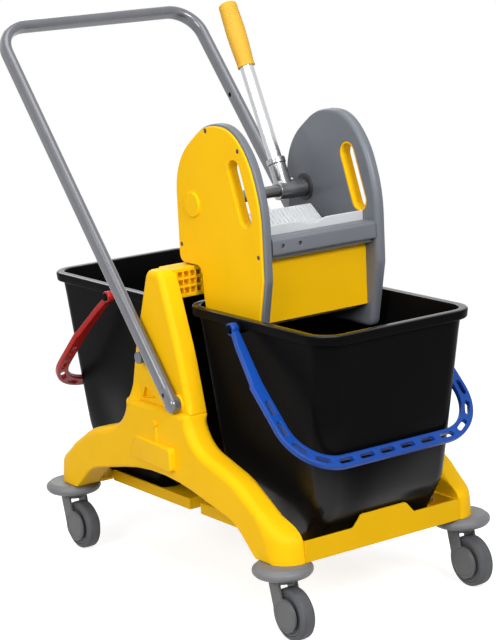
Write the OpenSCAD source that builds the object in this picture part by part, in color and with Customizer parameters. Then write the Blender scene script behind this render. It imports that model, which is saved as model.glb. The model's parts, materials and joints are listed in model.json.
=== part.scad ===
// Double mop bucket trolley with a lever wringer, in millimetres.
// +X is the front, +Y the left of someone who pushes it, +Z up, and the floor is at Z = 0.
// Pieces on the right are mirror images of those on the left, and the rear bucket mirrors the front one.

/* [Casters] */
// Diameter of a caster wheel over its tyre
wheel_d = 75; // [65:1:90]
// Width of the tyre
wheel_w = 24; // [18:1:28]
// Thickness of the tyre around its hub
tyre_t = 8; // [5:0.5:10]
// Diameter of the wheel axle
axle_d = 8; // [6:0.5:10]
// Thickness of a fork cheek
cheek_t = 4; // [3:0.5:6]
// Radius of the round cheek that covers the hub
cheek_r = 24; // [18:1:27]
// Distance from the swivel axis back to the wheel axle
caster_trail = 22; // [16:1:28]
// Diameter of the swivel stem
stem_d = 12; // [10:0.5:15]
// Depth of the stem in the foot
stem_grip = 20; // [12:1:24]
// Thickness of the fork crown
crown_t = 10; // [7:0.5:14]
// Diameter of the fork crown
crown_d = 36; // [34:1:44]
// Diameter of the bumper disc over a caster
bumper_d = 86; // [70:1:96]
// Thickness of the bumper disc
bumper_t = 16; // [10:1:20]
// Distance between the front and rear swivel axes
wheelbase = 554; // [540:2:570]
// Distance between the right and left swivel axes
track = 325; // [318:1:330]

/* [Chassis] */
// Length of the chassis over its end walls
chassis_l = 604; // [600:2:630]
// Width over the side frames
chassis_w = 362; // [358:1:366]
// Thickness of a side frame
side_t = 40; // [34:1:40]
// Corner radius of the chassis seen from above
chassis_r = 36; // [20:1:40]
// Rise of the side arch above the feet
arch_rise = 75; // [60:1:90]
// Half the span of the side arch at the feet
arch_half = 237; // [220:1:240]
// Height of the frame's end above the feet
toe_h = 37; // [30:1:45]
// Height of the frame's shoulder above the feet
shoulder_h = 103; // [90:1:115]
// Height of the frame's waist, where the tower starts, above the feet
waist_h = 132; // [126:1:140]
// Height of the seam under the tower above the feet
seam_h = 174; // [165:1:190]
// Height of the end wall's raised tab above the feet
tab_h = 48; // [42:1:56]
// Half width of the raised tab at its top
tab_half = 40; // [30:1:60]
// Height of the end wall beside its tab above the feet
end_wall_h = 31; // [26:1:36]
// Wall of the tray and its end walls
tray_wall = 4; // [3:0.5:4.5]
// Height of the tray floor above the feet
tray_rise = 8; // [6:0.5:12]
// Half width of the tray between the arches
tray_half = 118; // [115:1:124]

/* [Towers] */
// Height of a tower above its seam
tower_h = 208; // [200:1:220]
// Half length of a tower at its seam
tower_half = 79.5; // [74:0.5:84]
// Half length of a tower at its top
tower_top_half = 18; // [16:0.5:19]
// Depth of a tower across the trolley
tower_t = 30; // [26:1:32]
// Number of grooves in the shelf that carries the wringer
shelf_grooves = 3; // [2:1:4]

/* [Push handle] */
// Length from the pivot to the middle of the crossbar
handle_l = 680; // [640:5:720]
// Clear distance between a tower and the handle's leg beside it
handle_gap = 3.5; // [2:0.5:8]
// Lean of the handle back from upright
handle_lean = 40.2; // [30:0.2:45]
// Bend radius of the handle at the middle of its tube
handle_bend = 48; // [35:1:70]
// Depth of the oval tube
tube_h = 24; // [20:1:28]
// Width of the oval tube
tube_w = 16; // [14:0.5:17]
// Wall of the oval tube
tube_wall = 1.5; // [1:0.1:2.5]
// Distance of the pivot in front of the tower's middle
pivot_x = 52; // [45:1:56]
// Clear height of the handle's knuckle above the seam
pivot_gap = 0.4; // [0.4:0.1:10]
// Diameter of the pivot pin
pivot_d = 10; // [8:0.5:12]
// Diameter of the accessory hole in the left leg
hole_d = 8; // [5:0.5:10]
// Distance of the accessory hole from the pivot
hole_along = 508; // [450:1:560]

/* [Buckets] */
// Length of a bucket over its rim
rim_l = 338.5; // [336:0.5:346]
// Width of a bucket over its rim
rim_w = 278; // [270:1:278]
// Corner radius of the rim
rim_r = 42; // [36:1:54]
// Height of a bucket
bucket_h = 316; // [306:1:320]
// Gap between the middle of the trolley and each rim
rim_gap = 20.5; // [20:0.5:24]
// Overhang of the rim
lip = 10; // [8:0.5:14]
// Height of the rim's skirt
lip_h = 14; // [10:0.5:18]
// Wall of a bucket
bucket_wall = 3.5; // [2.5:0.5:5]
// Corner radius of a bucket's foot
base_r = 22; // [14:1:26]
// Height of the knee below which a bucket draws in to its foot
knee_h = 65; // [60:1:72]
// Length lost at each end of a bucket from rim to knee
end_taper = 36; // [32:1:44]
// Width lost at each side of a bucket from rim to knee
side_taper = 15; // [12:1:24]
// Length lost at each end of a bucket from knee to floor
foot_end = 40; // [36:1:48]
// Width lost at each side of a bucket from knee to floor
foot_side = 8; // [4:1:14]

/* [Bails] */
// Length of a bail from its pins to the middle of its grip
bail_l = 241; // [230:1:250]
// Half width of a bail at the middle of its band
bail_half = 160; // [154:0.5:161]
// Width of the slotted band
bail_band = 20; // [18:1:21]
// Width of the arms at the pins
bail_arm = 12; // [10:0.5:12]
// Thickness of a bail
bail_t = 9; // [7:0.5:11]
// Corner radius at the middle of the band
bail_r = 70; // [60:1:90]
// Number of slots in a band
bail_slots = 14; // [8:2:16]
// Diameter of the bucket's pins that carry a bail
bail_pin_d = 9; // [7:0.5:10]
// Distance of the pins from the bucket's middle, towards the towers
bail_back = 28; // [20:1:34]

/* [Wringer] */
// Length of a side plate
plate_l = 212; // [206:1:218]
// Height of a side plate above its step
plate_h = 205; // [200:1:212]
// Depth of a side plate below its step
plate_drop = 101; // [90:1:110]
// Drop of a side plate's rear shoulder below its top
shoulder_drop = 59; // [50:1:70]
// Drop of a side plate's front brow below its top
brow_drop = 110.5; // [100:0.5:125]
// Distance between the inner faces of the side plates
wringer_w = 184; // [176:1:190]
// Width of a side plate's rounded edge bead
bead_w = 18; // [12:1:20]
// Thickness of a side plate over its bead
plate_t = 15; // [12:0.5:15]
// Thickness of a cover
cover_t = 3; // [2:0.5:3]
// Width of the hand slot
slot_w = 30; // [22:1:32]
// Length between the centres of the hand slot's ends
slot_l = 69; // [55:1:75]
// Diameter of the pivot shaft
shaft_d = 18; // [14:1:20]
// Height of the pivot shaft above the step
shaft_h = 84; // [80:1:90]
// Distance of the pivot shaft in front of the tower's middle
shaft_x = 25; // [20:1:30]
// Length of the press jaw from the shaft
jaw_l = 118; // [90:1:120]
// Slope of the press jaw below level
jaw_slope = 36; // [30:1:40]
// Number of ribs on the press jaw
jaw_ribs = 23; // [15:2:27]

/* [Lever] */
// Length from the shaft to the end of the grip
lever_l = 300; // [260:5:340]
// Lean of the lever back from upright
lever_lean = 25; // [15:1:30]
// Distance of the lever from the middle plane
lever_y = 55; // [45:1:58]
// Diameter of the lever tube
lever_d = 21; // [18:0.5:24]
// Diameter of the grip
grip_d = 26; // [24.5:0.5:30]
// Length of the grip
grip_l = 104; // [90:1:120]

/* [Hidden] */
$fn = 64;
// Degrees of turn per straight step on a rounded outline
arc_step = 9;
// Radial clearance of a pin or shaft in its hole
fit_gap = 0.05;
// Clearance between pieces that slide past each other
run_gap = 0.4;
// Extra length of a cutting tool past a face
over = 1;

yellow = [0.98, 0.74, 0.05];
black = [0.09, 0.09, 0.10];
dark_grey = [0.36, 0.37, 0.40];
mid_grey = [0.50, 0.51, 0.53];
pale_grey = [0.78, 0.78, 0.79];
steel = [0.72, 0.73, 0.75];
blue = [0.10, 0.32, 0.74];
red = [0.78, 0.12, 0.10];

// Caster heights, from the floor up
axle_z = wheel_d / 2;
head_t = 2;
crown_z = wheel_d + head_t + 2;
bumper_z = crown_z + crown_t + run_gap;
foot_z = bumper_z + bumper_t;
cheek_y = wheel_w / 2 + 0.8;
hub_r = wheel_d / 2 - tyre_t;

// Chassis; its ends stand clear of the buckets' sloping walls at the top of the tab
chassis_half = max(chassis_l / 2, rim_gap + rim_l - lip - end_taper - foot_end
    + foot_end * (tab_h - tray_rise) / knee_h + tray_wall + run_gap);
side_out = chassis_w / 2;
side_in = side_out - side_t;
seam_z = foot_z + seam_h;
floor_z = foot_z + tray_rise;
floor_t = 5;
arch_drop = 34;
arch_crown = 9;
arch_crown_r = 420;
arch_bend_x = 190;
arch_bend_r = 80;
shoulder_x = 192;
shoulder_r = 110;
waist_out = 14;
waist_r = 60;
toe_in = 3;
toe_r = 22;

// Towers and handle
tower_out = side_in + tower_t;
shelf_z = seam_z + tower_h;
shelf_t = 48;
knuckle_r = tube_h / 2 + 0.6;
pivot_z = seam_z + knuckle_r + pivot_gap;
handle_y = tower_out + handle_gap + tube_w / 2;
handle_dir = [-sin(handle_lean), 0, cos(handle_lean)];
stop_r = 9;
stop_along = 93;
knuckle_l = 28;
spigot_l = 30;
knuckle_screw = 17;
pin_depth = 20;

// Buckets
bucket_x = rim_gap + rim_l / 2;
rim_z = floor_z + bucket_h;
body_l = rim_l - 2 * lip;
body_w = rim_w - 2 * lip;
knee_z = floor_z + knee_h;
knee_l = body_l - 2 * end_taper;
knee_w = body_w - 2 * side_taper;
knee_r = (rim_r - lip + base_r) / 2;
base_l = knee_l - 2 * foot_end;
base_w = knee_w - 2 * foot_side;

// Bails
bail_x = bucket_x - bail_back;
bail_z = rim_z - lip_h;
bail_eye_r = bail_pin_d / 2 + 4;
bail_in = rim_w / 2 + 2;
bail_out = bail_in + bail_arm;
bail_flare = 95;
bail_pitch = 36;
slot_len = 25;
slot_wide = 7;
// The bail hangs on the end wall: its lower inner edge lies run_gap off the sloping wall
wall_slope = atan(end_taper / (bucket_h - knee_h));
wall_off = (bucket_x + knee_l / 2 - bail_x) * cos(wall_slope) + (bail_z - knee_z) * sin(wall_slope);
touch_u = bail_l - bail_band / 2;
touch_r = norm([touch_u, bail_t / 2]);
bail_rest = wall_slope + acos((wall_off + run_gap) / touch_r) - atan(bail_t / 2 / touch_u);

// Wringer
wring_rear = rim_gap - 1.5;
wring_front = plate_l - wring_rear;
plate_in = wringer_w / 2;
plate_out = plate_in + plate_t;
cover_out = plate_out + cover_t;
web_in = 2;
web_t = 5;
step_front = 36;
heel_x = 38;
heel_drop = 46;
sole_x = 48;
sole_in = 21;
chin_drop = 10;
crown_rear = 81 - wring_rear;
crown_front = wring_front - 66.5;
bow_in = 25;
bow_drop = 41.5;
// Share of the shorter edge beside a corner of the arch that its arc takes up
fair = 0.47;
shaft_z = shelf_z + shaft_h;
slot_top = [wring_front - 63, shelf_z + plate_h - 62];
slot_lean = 20;
bush_d = shaft_d + 6;
bush_flange_d = shaft_d + 22;
bar_z = shelf_z + 25;
bar_h = 26;
bar_w = 29;
panel_t = 3;
panel_lip = 8;
sieve_t = 3;
sieve_drop = 84;
sieve_rise = 63;
sieve_lip = 30;
sieve_lean = 22;
sieve_z = shelf_z - sieve_drop;
sieve_top = shelf_z + sieve_rise;
panel_z = sieve_z + 10;
tie_d = 14;
tie_x = 2;
tie_z = shelf_z + 24;

// Lever
sleeve_r = shaft_d / 2 + 5;
socket_r = lever_d / 2 + 2.5;
sleeve_in = lever_y - socket_r - 1.5;
sleeve_out = plate_in + web_in - 4 - run_gap;
socket_l = 40;
collar_l = 9;
hub_screw_y = (lever_y + socket_r + sleeve_out) / 2;
tube_in = sleeve_r + 1;
jaw_t = 6;
jaw_in = shaft_d / 2 + 13;
jaw_gap = 14;
jaw_half = plate_in - jaw_gap;
jaw_arm_w = 12;
jaw_arm_y = 70;

// Shift along X that puts the origin under the middle of the trolley's length
handle_reach = -(pivot_x + handle_l * handle_dir.x) + (tube_h - tube_w) / 2 * cos(handle_lean) + tube_w / 2;
origin_shift = (handle_reach - rim_gap - rim_l) / 2;

ENDS = [["front", 1], ["rear", -1]];
SIDES = [["right", -1], ["left", 1]];
CORNERS = [for (e = ENDS, s = SIDES) [str(e[0], "_", s[0]), e[1], s[1]]];
CASTER_PIECES = ["bumper", "stem", "fork", "axle", "hub", "tyre"];

// Helpers

function unit(v) = v / norm(v);
function turned(v, a) = [v.x * cos(a) - v.y * sin(a), v.x * sin(a) + v.y * cos(a)];

// Points of the arc that rounds corner b between a and c, no larger than its edges allow
function corner(a, b, c, r) =
    r <= 0 ? [b] :
    let (u = unit(a - b), v = unit(c - b), half = acos(u * v) / 2,
         reach = min(r / tan(half), 0.95 * min(norm(a - b), norm(c - b))),
         radius = reach * tan(half),
         centre = b + unit(u + v) * radius / sin(half),
         start = b + u * reach - centre, end = b + v * reach - centre,
         turn = (180 - 2 * half) * (cross(start, end) > 0 ? 1 : -1),
         steps = max(2, ceil(abs(turn) / arc_step)))
    [for (i = [0 : steps]) centre + turned(start, turn * i / steps)];

// Outline through points [x, y, corner radius]
function rounded(p) = let (n = len(p), q = [for (c = p) [c.x, c.y]])
    [for (i = [0 : n - 1]) each corner(q[(i + n - 1) % n], q[i], q[(i + 1) % n], p[i].z)];

// The same points mirrored to negative x, in the order that closes the outline
function both_ways(p) = concat(p, [for (i = [len(p) - 1 : -1 : 0]) [-p[i].x, p[i].y, p[i].z]]);

module on_side(side) mirror([0, side < 0 ? 1 : 0, 0]) children();
module on_end(end) mirror([end < 0 ? 1 : 0, 0, 0]) children();
// Upright outline in X and Z, given thickness from y0 to y1
module upright(y0, y1) translate([0, y1, 0]) rotate([90, 0, 0]) linear_extrude(y1 - y0) children();
// Cylinder along Y between y0 and y1
module rod(r, y0, y1) translate([0, y0, 0]) rotate([-90, 0, 0]) cylinder(r = r, h = y1 - y0);
module rounded_rect(l, w, r) {
    square([l - 2 * r, w], center = true);
    square([l, w - 2 * r], center = true);
    for (x = [-1, 1], y = [-1, 1]) translate([x * (l / 2 - r), y * (w / 2 - r)]) circle(r);
}
// Oval with its long way along x
module oval(l, w) rounded_rect(l, w, w / 2 - 0.001);
module slot(l, w) {
    square([l, w], center = true);
    for (x = [-1, 1]) translate([x * l / 2, 0]) circle(d = w);
}
// Places a piece from the middle of the chassis to the origin of the part
module placed() translate([origin_shift, 0, 0]) children();

// Casters

module at_caster(c) translate([c[1] * wheelbase / 2, c[2] * track / 2, 0]) children();

module bumper(c) color(mid_grey) at_caster(c) translate([0, 0, bumper_z]) difference() {
    rotate_extrude() polygon(rounded([
        [0, 0, 0], [bumper_d / 2 - 4, 0, 3], [bumper_d / 2, bumper_t * 0.3, 5],
        [bumper_d / 2, bumper_t * 0.65, 5], [bumper_d / 2 - 7, bumper_t, 6], [0, bumper_t, 0]
    ]));
    translate([0, 0, -over]) cylinder(d = stem_d + 2 * fit_gap, h = bumper_t + 2 * over);
}

module stem(c) color(steel) at_caster(c) {
    translate([0, 0, crown_z]) cylinder(d = stem_d, h = foot_z + stem_grip - crown_z);
    translate([0, 0, crown_z - head_t]) cylinder(d = stem_d + 6, h = head_t);
}

module cheek() {
    translate([caster_trail, axle_z]) circle(cheek_r);
    polygon([
        [-crown_d / 2 + 3, crown_z + crown_t], [crown_d / 4, crown_z + crown_t],
        [caster_trail - 6, axle_z + cheek_r - 3], [caster_trail - cheek_r + 0.5, axle_z]
    ]);
}

module fork(c) color(dark_grey) at_caster(c) difference() {
    union() {
        translate([0, 0, crown_z]) cylinder(d = crown_d, h = crown_t);
        for (s = [-1, 1]) on_side(s) upright(cheek_y, cheek_y + cheek_t) cheek();
    }
    translate([0, 0, crown_z - over]) cylinder(d = stem_d + 2 * fit_gap, h = crown_t + 2 * over);
    translate([caster_trail, 0, axle_z])
        rod(axle_d / 2 + fit_gap, -cheek_y - cheek_t + 1, cheek_y + cheek_t - 1);
}

module axle(c) color(steel) at_caster(c) translate([caster_trail, 0, axle_z])
    rod(axle_d / 2, -cheek_y - cheek_t + 1 + fit_gap, cheek_y + cheek_t - 1 - fit_gap);

module hub(c) color(mid_grey) at_caster(c) translate([caster_trail, 0, axle_z]) difference() {
    rotate([90, 0, 0]) rotate_extrude() polygon([
        [0, -wheel_w / 2], [axle_d, -wheel_w / 2], [axle_d + 3, -wheel_w / 2 + 3],
        [hub_r - 4, -wheel_w / 2 + 3], [hub_r - 2, -wheel_w / 2 + 1], [hub_r, -wheel_w / 2 + 1],
        [hub_r, wheel_w / 2 - 1], [hub_r - 2, wheel_w / 2 - 1], [hub_r - 4, wheel_w / 2 - 3],
        [axle_d + 3, wheel_w / 2 - 3], [axle_d, wheel_w / 2], [0, wheel_w / 2]
    ]);
    rod(axle_d / 2 + fit_gap, -wheel_w, wheel_w);
}

module tyre(c) color([0.22, 0.22, 0.24]) at_caster(c) translate([caster_trail, 0, axle_z])
    rotate([90, 0, 0]) rotate_extrude() polygon(rounded([
        [hub_r + fit_gap, -wheel_w / 2 + 1, 0], [wheel_d / 2 - 3, -wheel_w / 2, 2],
        [wheel_d / 2, -wheel_w / 2 + 5, 4], [wheel_d / 2, wheel_w / 2 - 5, 4],
        [wheel_d / 2 - 3, wheel_w / 2, 2], [hub_r + fit_gap, wheel_w / 2 - 1, 0]
    ]));

module caster_piece(piece, c) {
    if (piece == "bumper") bumper(c);
    if (piece == "stem") stem(c);
    if (piece == "fork") fork(c);
    if (piece == "axle") axle(c);
    if (piece == "hub") hub(c);
    if (piece == "tyre") tyre(c);
}

// Chassis

flange_x = chassis_half - 75;
screw_x = [chassis_half - 60, chassis_half - 14];
screw_z = floor_z + 12;
screw_d = 5;
notch_half = 14;
notch_in = 90;

module tray_floor_outline() difference() {
    square([2 * (chassis_half - tray_wall), 2 * side_in], center = true);
    for (s = [-1, 1]) {
        translate([0, s * (tray_half + side_in)])
            square([2 * flange_x, 2 * side_in], center = true);
        translate([0, s * (notch_in + side_in)]) square([2 * notch_half, 2 * side_in], center = true);
    }
}

tab_run = 15;
tab_r = 6;
foot_rib = 12;
foot_rib_in = 22;

// End wall seen along X, with the raised tab in its middle
module end_wall_outline() polygon(rounded(both_ways([
    [side_in, 0, 0], [side_in, end_wall_h, 0], [tab_half + tab_run, end_wall_h, tab_r], [tab_half, tab_h, tab_r]
])));

module base_tray() color(yellow) difference() {
    union() {
        translate([0, 0, floor_z - floor_t]) linear_extrude(floor_t) tray_floor_outline();
        for (e = [-1, 1]) on_end(e) {
            translate([chassis_half - tray_wall, 0, foot_z]) rotate([90, 0, 90])
                linear_extrude(tray_wall) end_wall_outline();
            // Rib along the foot of the end wall
            translate([chassis_half - tray_wall - foot_rib, -side_in + foot_rib_in, foot_z])
                cube([foot_rib + over, 2 * (side_in - foot_rib_in), tray_rise]);
        }
        for (s = [-1, 1], e = [-1, 1]) on_side(s) on_end(e) {
            // Skirt along the side of each tray, and the wall that turns in beside the middle notch
            translate([notch_half, tray_half - tray_wall, foot_z])
                cube([flange_x - notch_half + over, tray_wall, tray_rise + 9]);
            translate([notch_half, notch_in, foot_z])
                cube([tray_wall, tray_half - notch_in - over, tray_rise + 9]);
            // Flange that is screwed to the side frame
            translate([flange_x, side_in - tray_wall, floor_z - over])
                cube([chassis_half - flange_x - over, tray_wall, end_wall_h - tray_rise]);
        }
        // Ribs under the floor
        for (y = [-60, 0, 60]) translate([-chassis_half + 20, y - 2, foot_z])
            cube([2 * chassis_half - 40, 4, tray_rise - floor_t + over]);
    }
    for (s = [-1, 1], e = [-1, 1], x = screw_x) on_side(s) on_end(e)
        translate([x, 0, screw_z]) rod(screw_d / 2 + fit_gap, side_in - tray_wall - over, side_in + over);
}

// Outline of a side frame up to its seam
module side_outline() difference() {
    polygon(rounded(both_ways([
        [chassis_half, foot_z, 0], [chassis_half - toe_in, foot_z + toe_h, toe_r],
        [shoulder_x, foot_z + shoulder_h, shoulder_r], [tower_half + waist_out, foot_z + waist_h, waist_r],
        [tower_half, seam_z, 0]
    ])));
    bend_z = foot_z + arch_rise - arch_drop;
    polygon(rounded([
        [0, foot_z + arch_rise + arch_crown, arch_crown_r], [arch_bend_x, bend_z, arch_bend_r],
        [arch_half, foot_z, 0], [arch_half, foot_z - over, 0], [-arch_half, foot_z - over, 0],
        [-arch_half, foot_z, 0], [-arch_bend_x, bend_z, arch_bend_r]
    ]));
}

wedge_end = 50;
wedge_start = -76;
wedge_out = 10;
wedge_bottom = foot_z + arch_rise + 10;
wedge_h = 36;
rib_x = 3;
rib_z = seam_z - 24;

module side_frame(side) color(yellow) on_side(side) difference() {
    union() {
        intersection() {
            upright(side_in, side_out) side_outline();
            translate([0, 0, foot_z - over]) linear_extrude(seam_h + 2 * over)
                rounded_rect(2 * chassis_half, chassis_w, chassis_r);
        }
        // Wedge-shaped foot rest that grows out of the frame towards the front
        translate([0, 0, wedge_bottom]) linear_extrude(wedge_h) polygon([
            [wedge_start, side_out - over], [wedge_end, side_out - over],
            [wedge_end, side_out + wedge_out - 1], [wedge_end - 4, side_out + wedge_out]
        ]);
        // Short upright rib with a round head under the pivot
        translate([rib_x - 2.5, side_out - over, wedge_bottom + wedge_h])
            cube([5, over + 2, rib_z - wedge_bottom - wedge_h]);
        translate([rib_x, 0, rib_z]) rod(5.5, side_out - over, side_out + 4);
    }
    for (e = [-1, 1]) {
        translate([e * wheelbase / 2, track / 2, foot_z - over])
            cylinder(d = stem_d + 2 * fit_gap, h = stem_grip + fit_gap + over);
        for (x = screw_x) translate([e * x, 0, screw_z])
            rod(screw_d / 2 + fit_gap, side_in - over, side_in + 12);
    }
}

module frame_screws() color(steel) for (s = [-1, 1], e = [-1, 1], x = screw_x) on_side(s) on_end(e)
    translate([x, 0, screw_z]) {
        rod(screw_d / 2, side_in - tray_wall - over, side_in + 12 - run_gap);
        rod(screw_d, side_in - tray_wall - 3, side_in - tray_wall);
    }

// Towers

// Places a piece on the handle's axis: x along the leg from the pivot, z out on the side of the stops
module on_handle() translate([pivot_x, 0, pivot_z]) rotate([0, -90 - handle_lean, 0]) children();

knuckle_in = handle_y - tube_w / 2;
groove_h = 5;
groove_d = 3;

module tower(side) color(yellow) on_side(side) difference() {
    union() {
        upright(side_in, tower_out) polygon(rounded(both_ways([
            [tower_half, seam_z, 0], [tower_top_half, shelf_z, tower_top_half - 2]
        ])));
        // Shelf that reaches in under the wringer
        translate([-tower_top_half, plate_in - 2, shelf_z - shelf_t])
            cube([2 * tower_top_half, side_in - plate_in + 2 + over, shelf_t]);
        // Boss around the handle's pivot
        translate([pivot_x, 0, pivot_z]) rod(knuckle_r, tower_out - over, knuckle_in - run_gap);
    }
    for (x = [-1, 1], i = [1 : shelf_grooves])
        translate([x * tower_top_half, (plate_in + side_in) / 2 + 2,
                   shelf_z - i * shelf_t / (shelf_grooves + 1)])
            cube([2 * groove_d, side_in - plate_in - 10, groove_h], center = true);
    translate([pivot_x, 0, pivot_z]) rod(pivot_d / 2 + fit_gap, tower_out - pin_depth, knuckle_in + over);
    // Triangular relief above the seam
    upright(tower_out - 6, tower_out + over) polygon([
        [-44, seam_z + 4], [-7, seam_z + 10], [-36, seam_z + 23]
    ]);
}

module pivot_pins() color(steel) for (s = [-1, 1]) on_side(s) translate([pivot_x, 0, pivot_z])
    rod(pivot_d / 2, tower_out - pin_depth + fit_gap, handle_y + tube_w / 2 - 4);

module handle_stops() color(mid_grey) for (s = [-1, 1]) on_side(s) on_handle()
    translate([stop_along, 0, tube_h / 2 + stop_r]) {
        rod(stop_r, tower_out, handle_y + tube_w / 2 - 2);
        rod(stop_r + 3, tower_out, tower_out + 2);
    }

// Push handle

module tube_section() difference() {
    oval(tube_h, tube_w);
    oval(tube_h - 2 * tube_wall, tube_w - 2 * tube_wall);
}

module handle_tube() color(mid_grey) on_handle() difference() {
    union() {
        for (s = [-1, 1]) on_side(s) {
            translate([knuckle_l, handle_y, 0]) rotate([0, 90, 0])
                linear_extrude(handle_l - handle_bend - knuckle_l) tube_section();
            translate([handle_l - handle_bend, handle_y - handle_bend, 0]) rotate_extrude(angle = 90)
                translate([handle_bend, 0]) rotate(90) tube_section();
        }
        translate([handle_l, handle_bend - handle_y, 0]) rotate([-90, 0, 0])
            linear_extrude(2 * (handle_y - handle_bend)) rotate(90) tube_section();
    }
    translate([hole_along, 0, 0]) rod(hole_d / 2, handle_y - tube_w, handle_y + tube_w);
}

module knuckle(side) color(mid_grey) on_side(side) on_handle() difference() {
    union() {
        // Round end, flat on the side of the tower
        translate([0, handle_y, 0]) rotate([-90, 0, 0]) rotate_extrude() polygon(rounded([
            [0, -tube_w / 2, 0], [knuckle_r, -tube_w / 2, 2], [knuckle_r, tube_w / 2 + 0.5, tube_w / 2 - 1],
            [0, tube_w / 2 + 0.5, 0]
        ]));
        intersection() {
            translate([0, handle_y, 0]) rotate([0, 90, 0]) linear_extrude(knuckle_l)
                square([tube_h, tube_w], center = true);
            translate([-tube_h, handle_y, 0]) rotate([0, 90, 0])
                linear_extrude(knuckle_l + tube_h) oval(tube_h, tube_w);
        }
        translate([knuckle_l - over, handle_y, 0]) rotate([0, 90, 0]) linear_extrude(spigot_l + over)
            oval(tube_h - 2 * tube_wall - 2 * fit_gap, tube_w - 2 * tube_wall - 2 * fit_gap);
    }
    rod(pivot_d / 2 + fit_gap, knuckle_in - over, handle_y + tube_w / 2 - 4 + fit_gap);
    translate([knuckle_screw, 0, 0]) rod(3.5, handle_y + tube_w / 2 - 5, handle_y + tube_w);
}

module knuckle_screws() color(steel) for (s = [-1, 1]) on_side(s) on_handle()
    translate([knuckle_screw, 0, 0]) rod(3, handle_y + tube_w / 2 - 5, handle_y + tube_w / 2 - 3);

// Buckets

// Body of a bucket through its foot, knee and rim, drawn in by inset
module bucket_form(inset, low, high) hull() {
    translate([0, 0, low]) linear_extrude(0.1)
        rounded_rect(base_l - 2 * inset, base_w - 2 * inset, base_r - inset, $fn = 32);
    translate([0, 0, knee_z]) linear_extrude(0.1)
        rounded_rect(knee_l - 2 * inset, knee_w - 2 * inset, knee_r - inset, $fn = 32);
    translate([0, 0, high - 0.1]) linear_extrude(0.1)
        rounded_rect(body_l - 2 * inset, body_w - 2 * inset, rim_r - lip - inset, $fn = 32);
}

module bucket(end) color(black) on_end(end) translate([bucket_x, 0, 0]) difference() {
    union() {
        bucket_form(0, floor_z, rim_z);
        translate([0, 0, rim_z - lip_h]) linear_extrude(lip_h) rounded_rect(rim_l, rim_w, rim_r);
        // Pins for the bail, each with a head that keeps it on
        for (s = [-1, 1]) on_side(s) translate([-bail_back, 0, bail_z]) {
            rod(bail_pin_d / 2, body_w / 2 - 6, bail_out + 3);
            rod(bail_pin_d / 2 + 4, body_w / 2 - 6, bail_in - run_gap);
            rod(bail_pin_d / 2 + 1.5, bail_out + run_gap, bail_out + 3);
        }
    }
    bucket_form(bucket_wall, floor_z + bucket_wall, rim_z + 0.2);
}

// Bails

// Edge of the bail's band, off its middle line by d, from the pins to the middle of the grip
function band_edge(v_arm, d) = [
    [-bail_eye_r - over, v_arm, 0], [bail_eye_r + 3, v_arm, 0], [bail_flare, bail_half + d, 40],
    [bail_l + d, bail_half + d, bail_r + d]
];
// The whole edge, out along one arm and back along the other
function band_outline(v_arm, d) = let (e = band_edge(v_arm, d))
    rounded(concat(e, [for (i = [len(e) - 1 : -1 : 0]) [e[i].x, -e[i].y, e[i].z]]));

// Place and heading on the band's middle line, s from the middle of the grip
function band_place(s) = let (
        straight = bail_half - bail_r, arc = bail_r * PI / 2, a = abs(s), sign = s < 0 ? -1 : 1,
        turn = min(max(a - straight, 0), arc) / bail_r * 180 / PI,
        back = max(a - straight - arc, 0)
    ) a <= straight ? [bail_l, s, 90] : [
        bail_l - bail_r + bail_r * cos(turn) - back, sign * (straight + bail_r * sin(turn)), sign * (90 + turn)
    ];

module on_bail(end) on_end(end) translate([bail_x, 0, bail_z]) rotate([0, bail_rest, 0]) children();

module bail(end, tint) color(tint) on_bail(end) difference() {
    union() {
        linear_extrude(bail_t, center = true) difference() {
            polygon(band_outline(bail_out, bail_band / 2));
            polygon(band_outline(bail_in, -bail_band / 2));
            translate([-bail_l - bail_eye_r / 2, -bail_l]) square([bail_l, 2 * bail_l]);
            for (i = [0 : bail_slots - 1])
                let (p = band_place((i - (bail_slots - 1) / 2) * bail_pitch))
                    translate([p.x, p.y]) rotate(p.z) slot(slot_len - slot_wide, slot_wide);
        }
        for (s = [-1, 1]) on_side(s) rod(bail_eye_r, bail_in, bail_out);
    }
    for (s = [-1, 1]) on_side(s) rod(bail_pin_d / 2 + fit_gap, bail_in - over, bail_out + over);
}

// Wringer

// Radius that lets the arc at b, between a and c, take up the fair share of the shorter edge
function fair_r(a, b, c) = let (u = a - b, v = c - b)
    fair * min(norm(u), norm(v)) * tan(acos(u * v / (norm(u) * norm(v))) / 2);

plate_top = shelf_z + plate_h;
plate_arch = [
    [-wring_rear, shelf_z], [-wring_rear, plate_top - shoulder_drop], [crown_rear, plate_top],
    [crown_front, plate_top], [wring_front - bow_in, plate_top - bow_drop],
    [wring_front, plate_top - brow_drop], [wring_front, shelf_z - chin_drop]
];

module plate_outline(inset = 0) offset(delta = -inset) polygon(rounded(concat([
    [sole_x, shelf_z - plate_drop, 10], [heel_x, shelf_z - heel_drop, 20], [step_front, shelf_z, 12],
    [-wring_rear, shelf_z, 14]
], [for (i = [1 : len(plate_arch) - 2]) let (a = plate_arch[i - 1], b = plate_arch[i], c = plate_arch[i + 1])
    [b.x, b.y, fair_r(a, b, c)]
], [
    [wring_front, shelf_z - chin_drop, 40], [wring_front - sole_in, shelf_z - plate_drop, 15]
])));

module hand_slot(grow = 0) translate(slot_top) rotate(-90 + slot_lean)
    translate([slot_l / 2, 0]) slot(slot_l, slot_w + 2 * grow);

// Screw places around the cover, in X and Z
screw_places = [
    [crown_rear + 3, plate_top - 12], [wring_front - 52, plate_top - 34.5],
    [wring_front - 13, shelf_z + 25], [-wring_rear + 9, shelf_z + 22],
    [wring_front - sole_in - 24, shelf_z - plate_drop + 12], [sole_x + 22, shelf_z - plate_drop + 12]
];
cover_screw_d = 4;
lining = 2.5;

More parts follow.
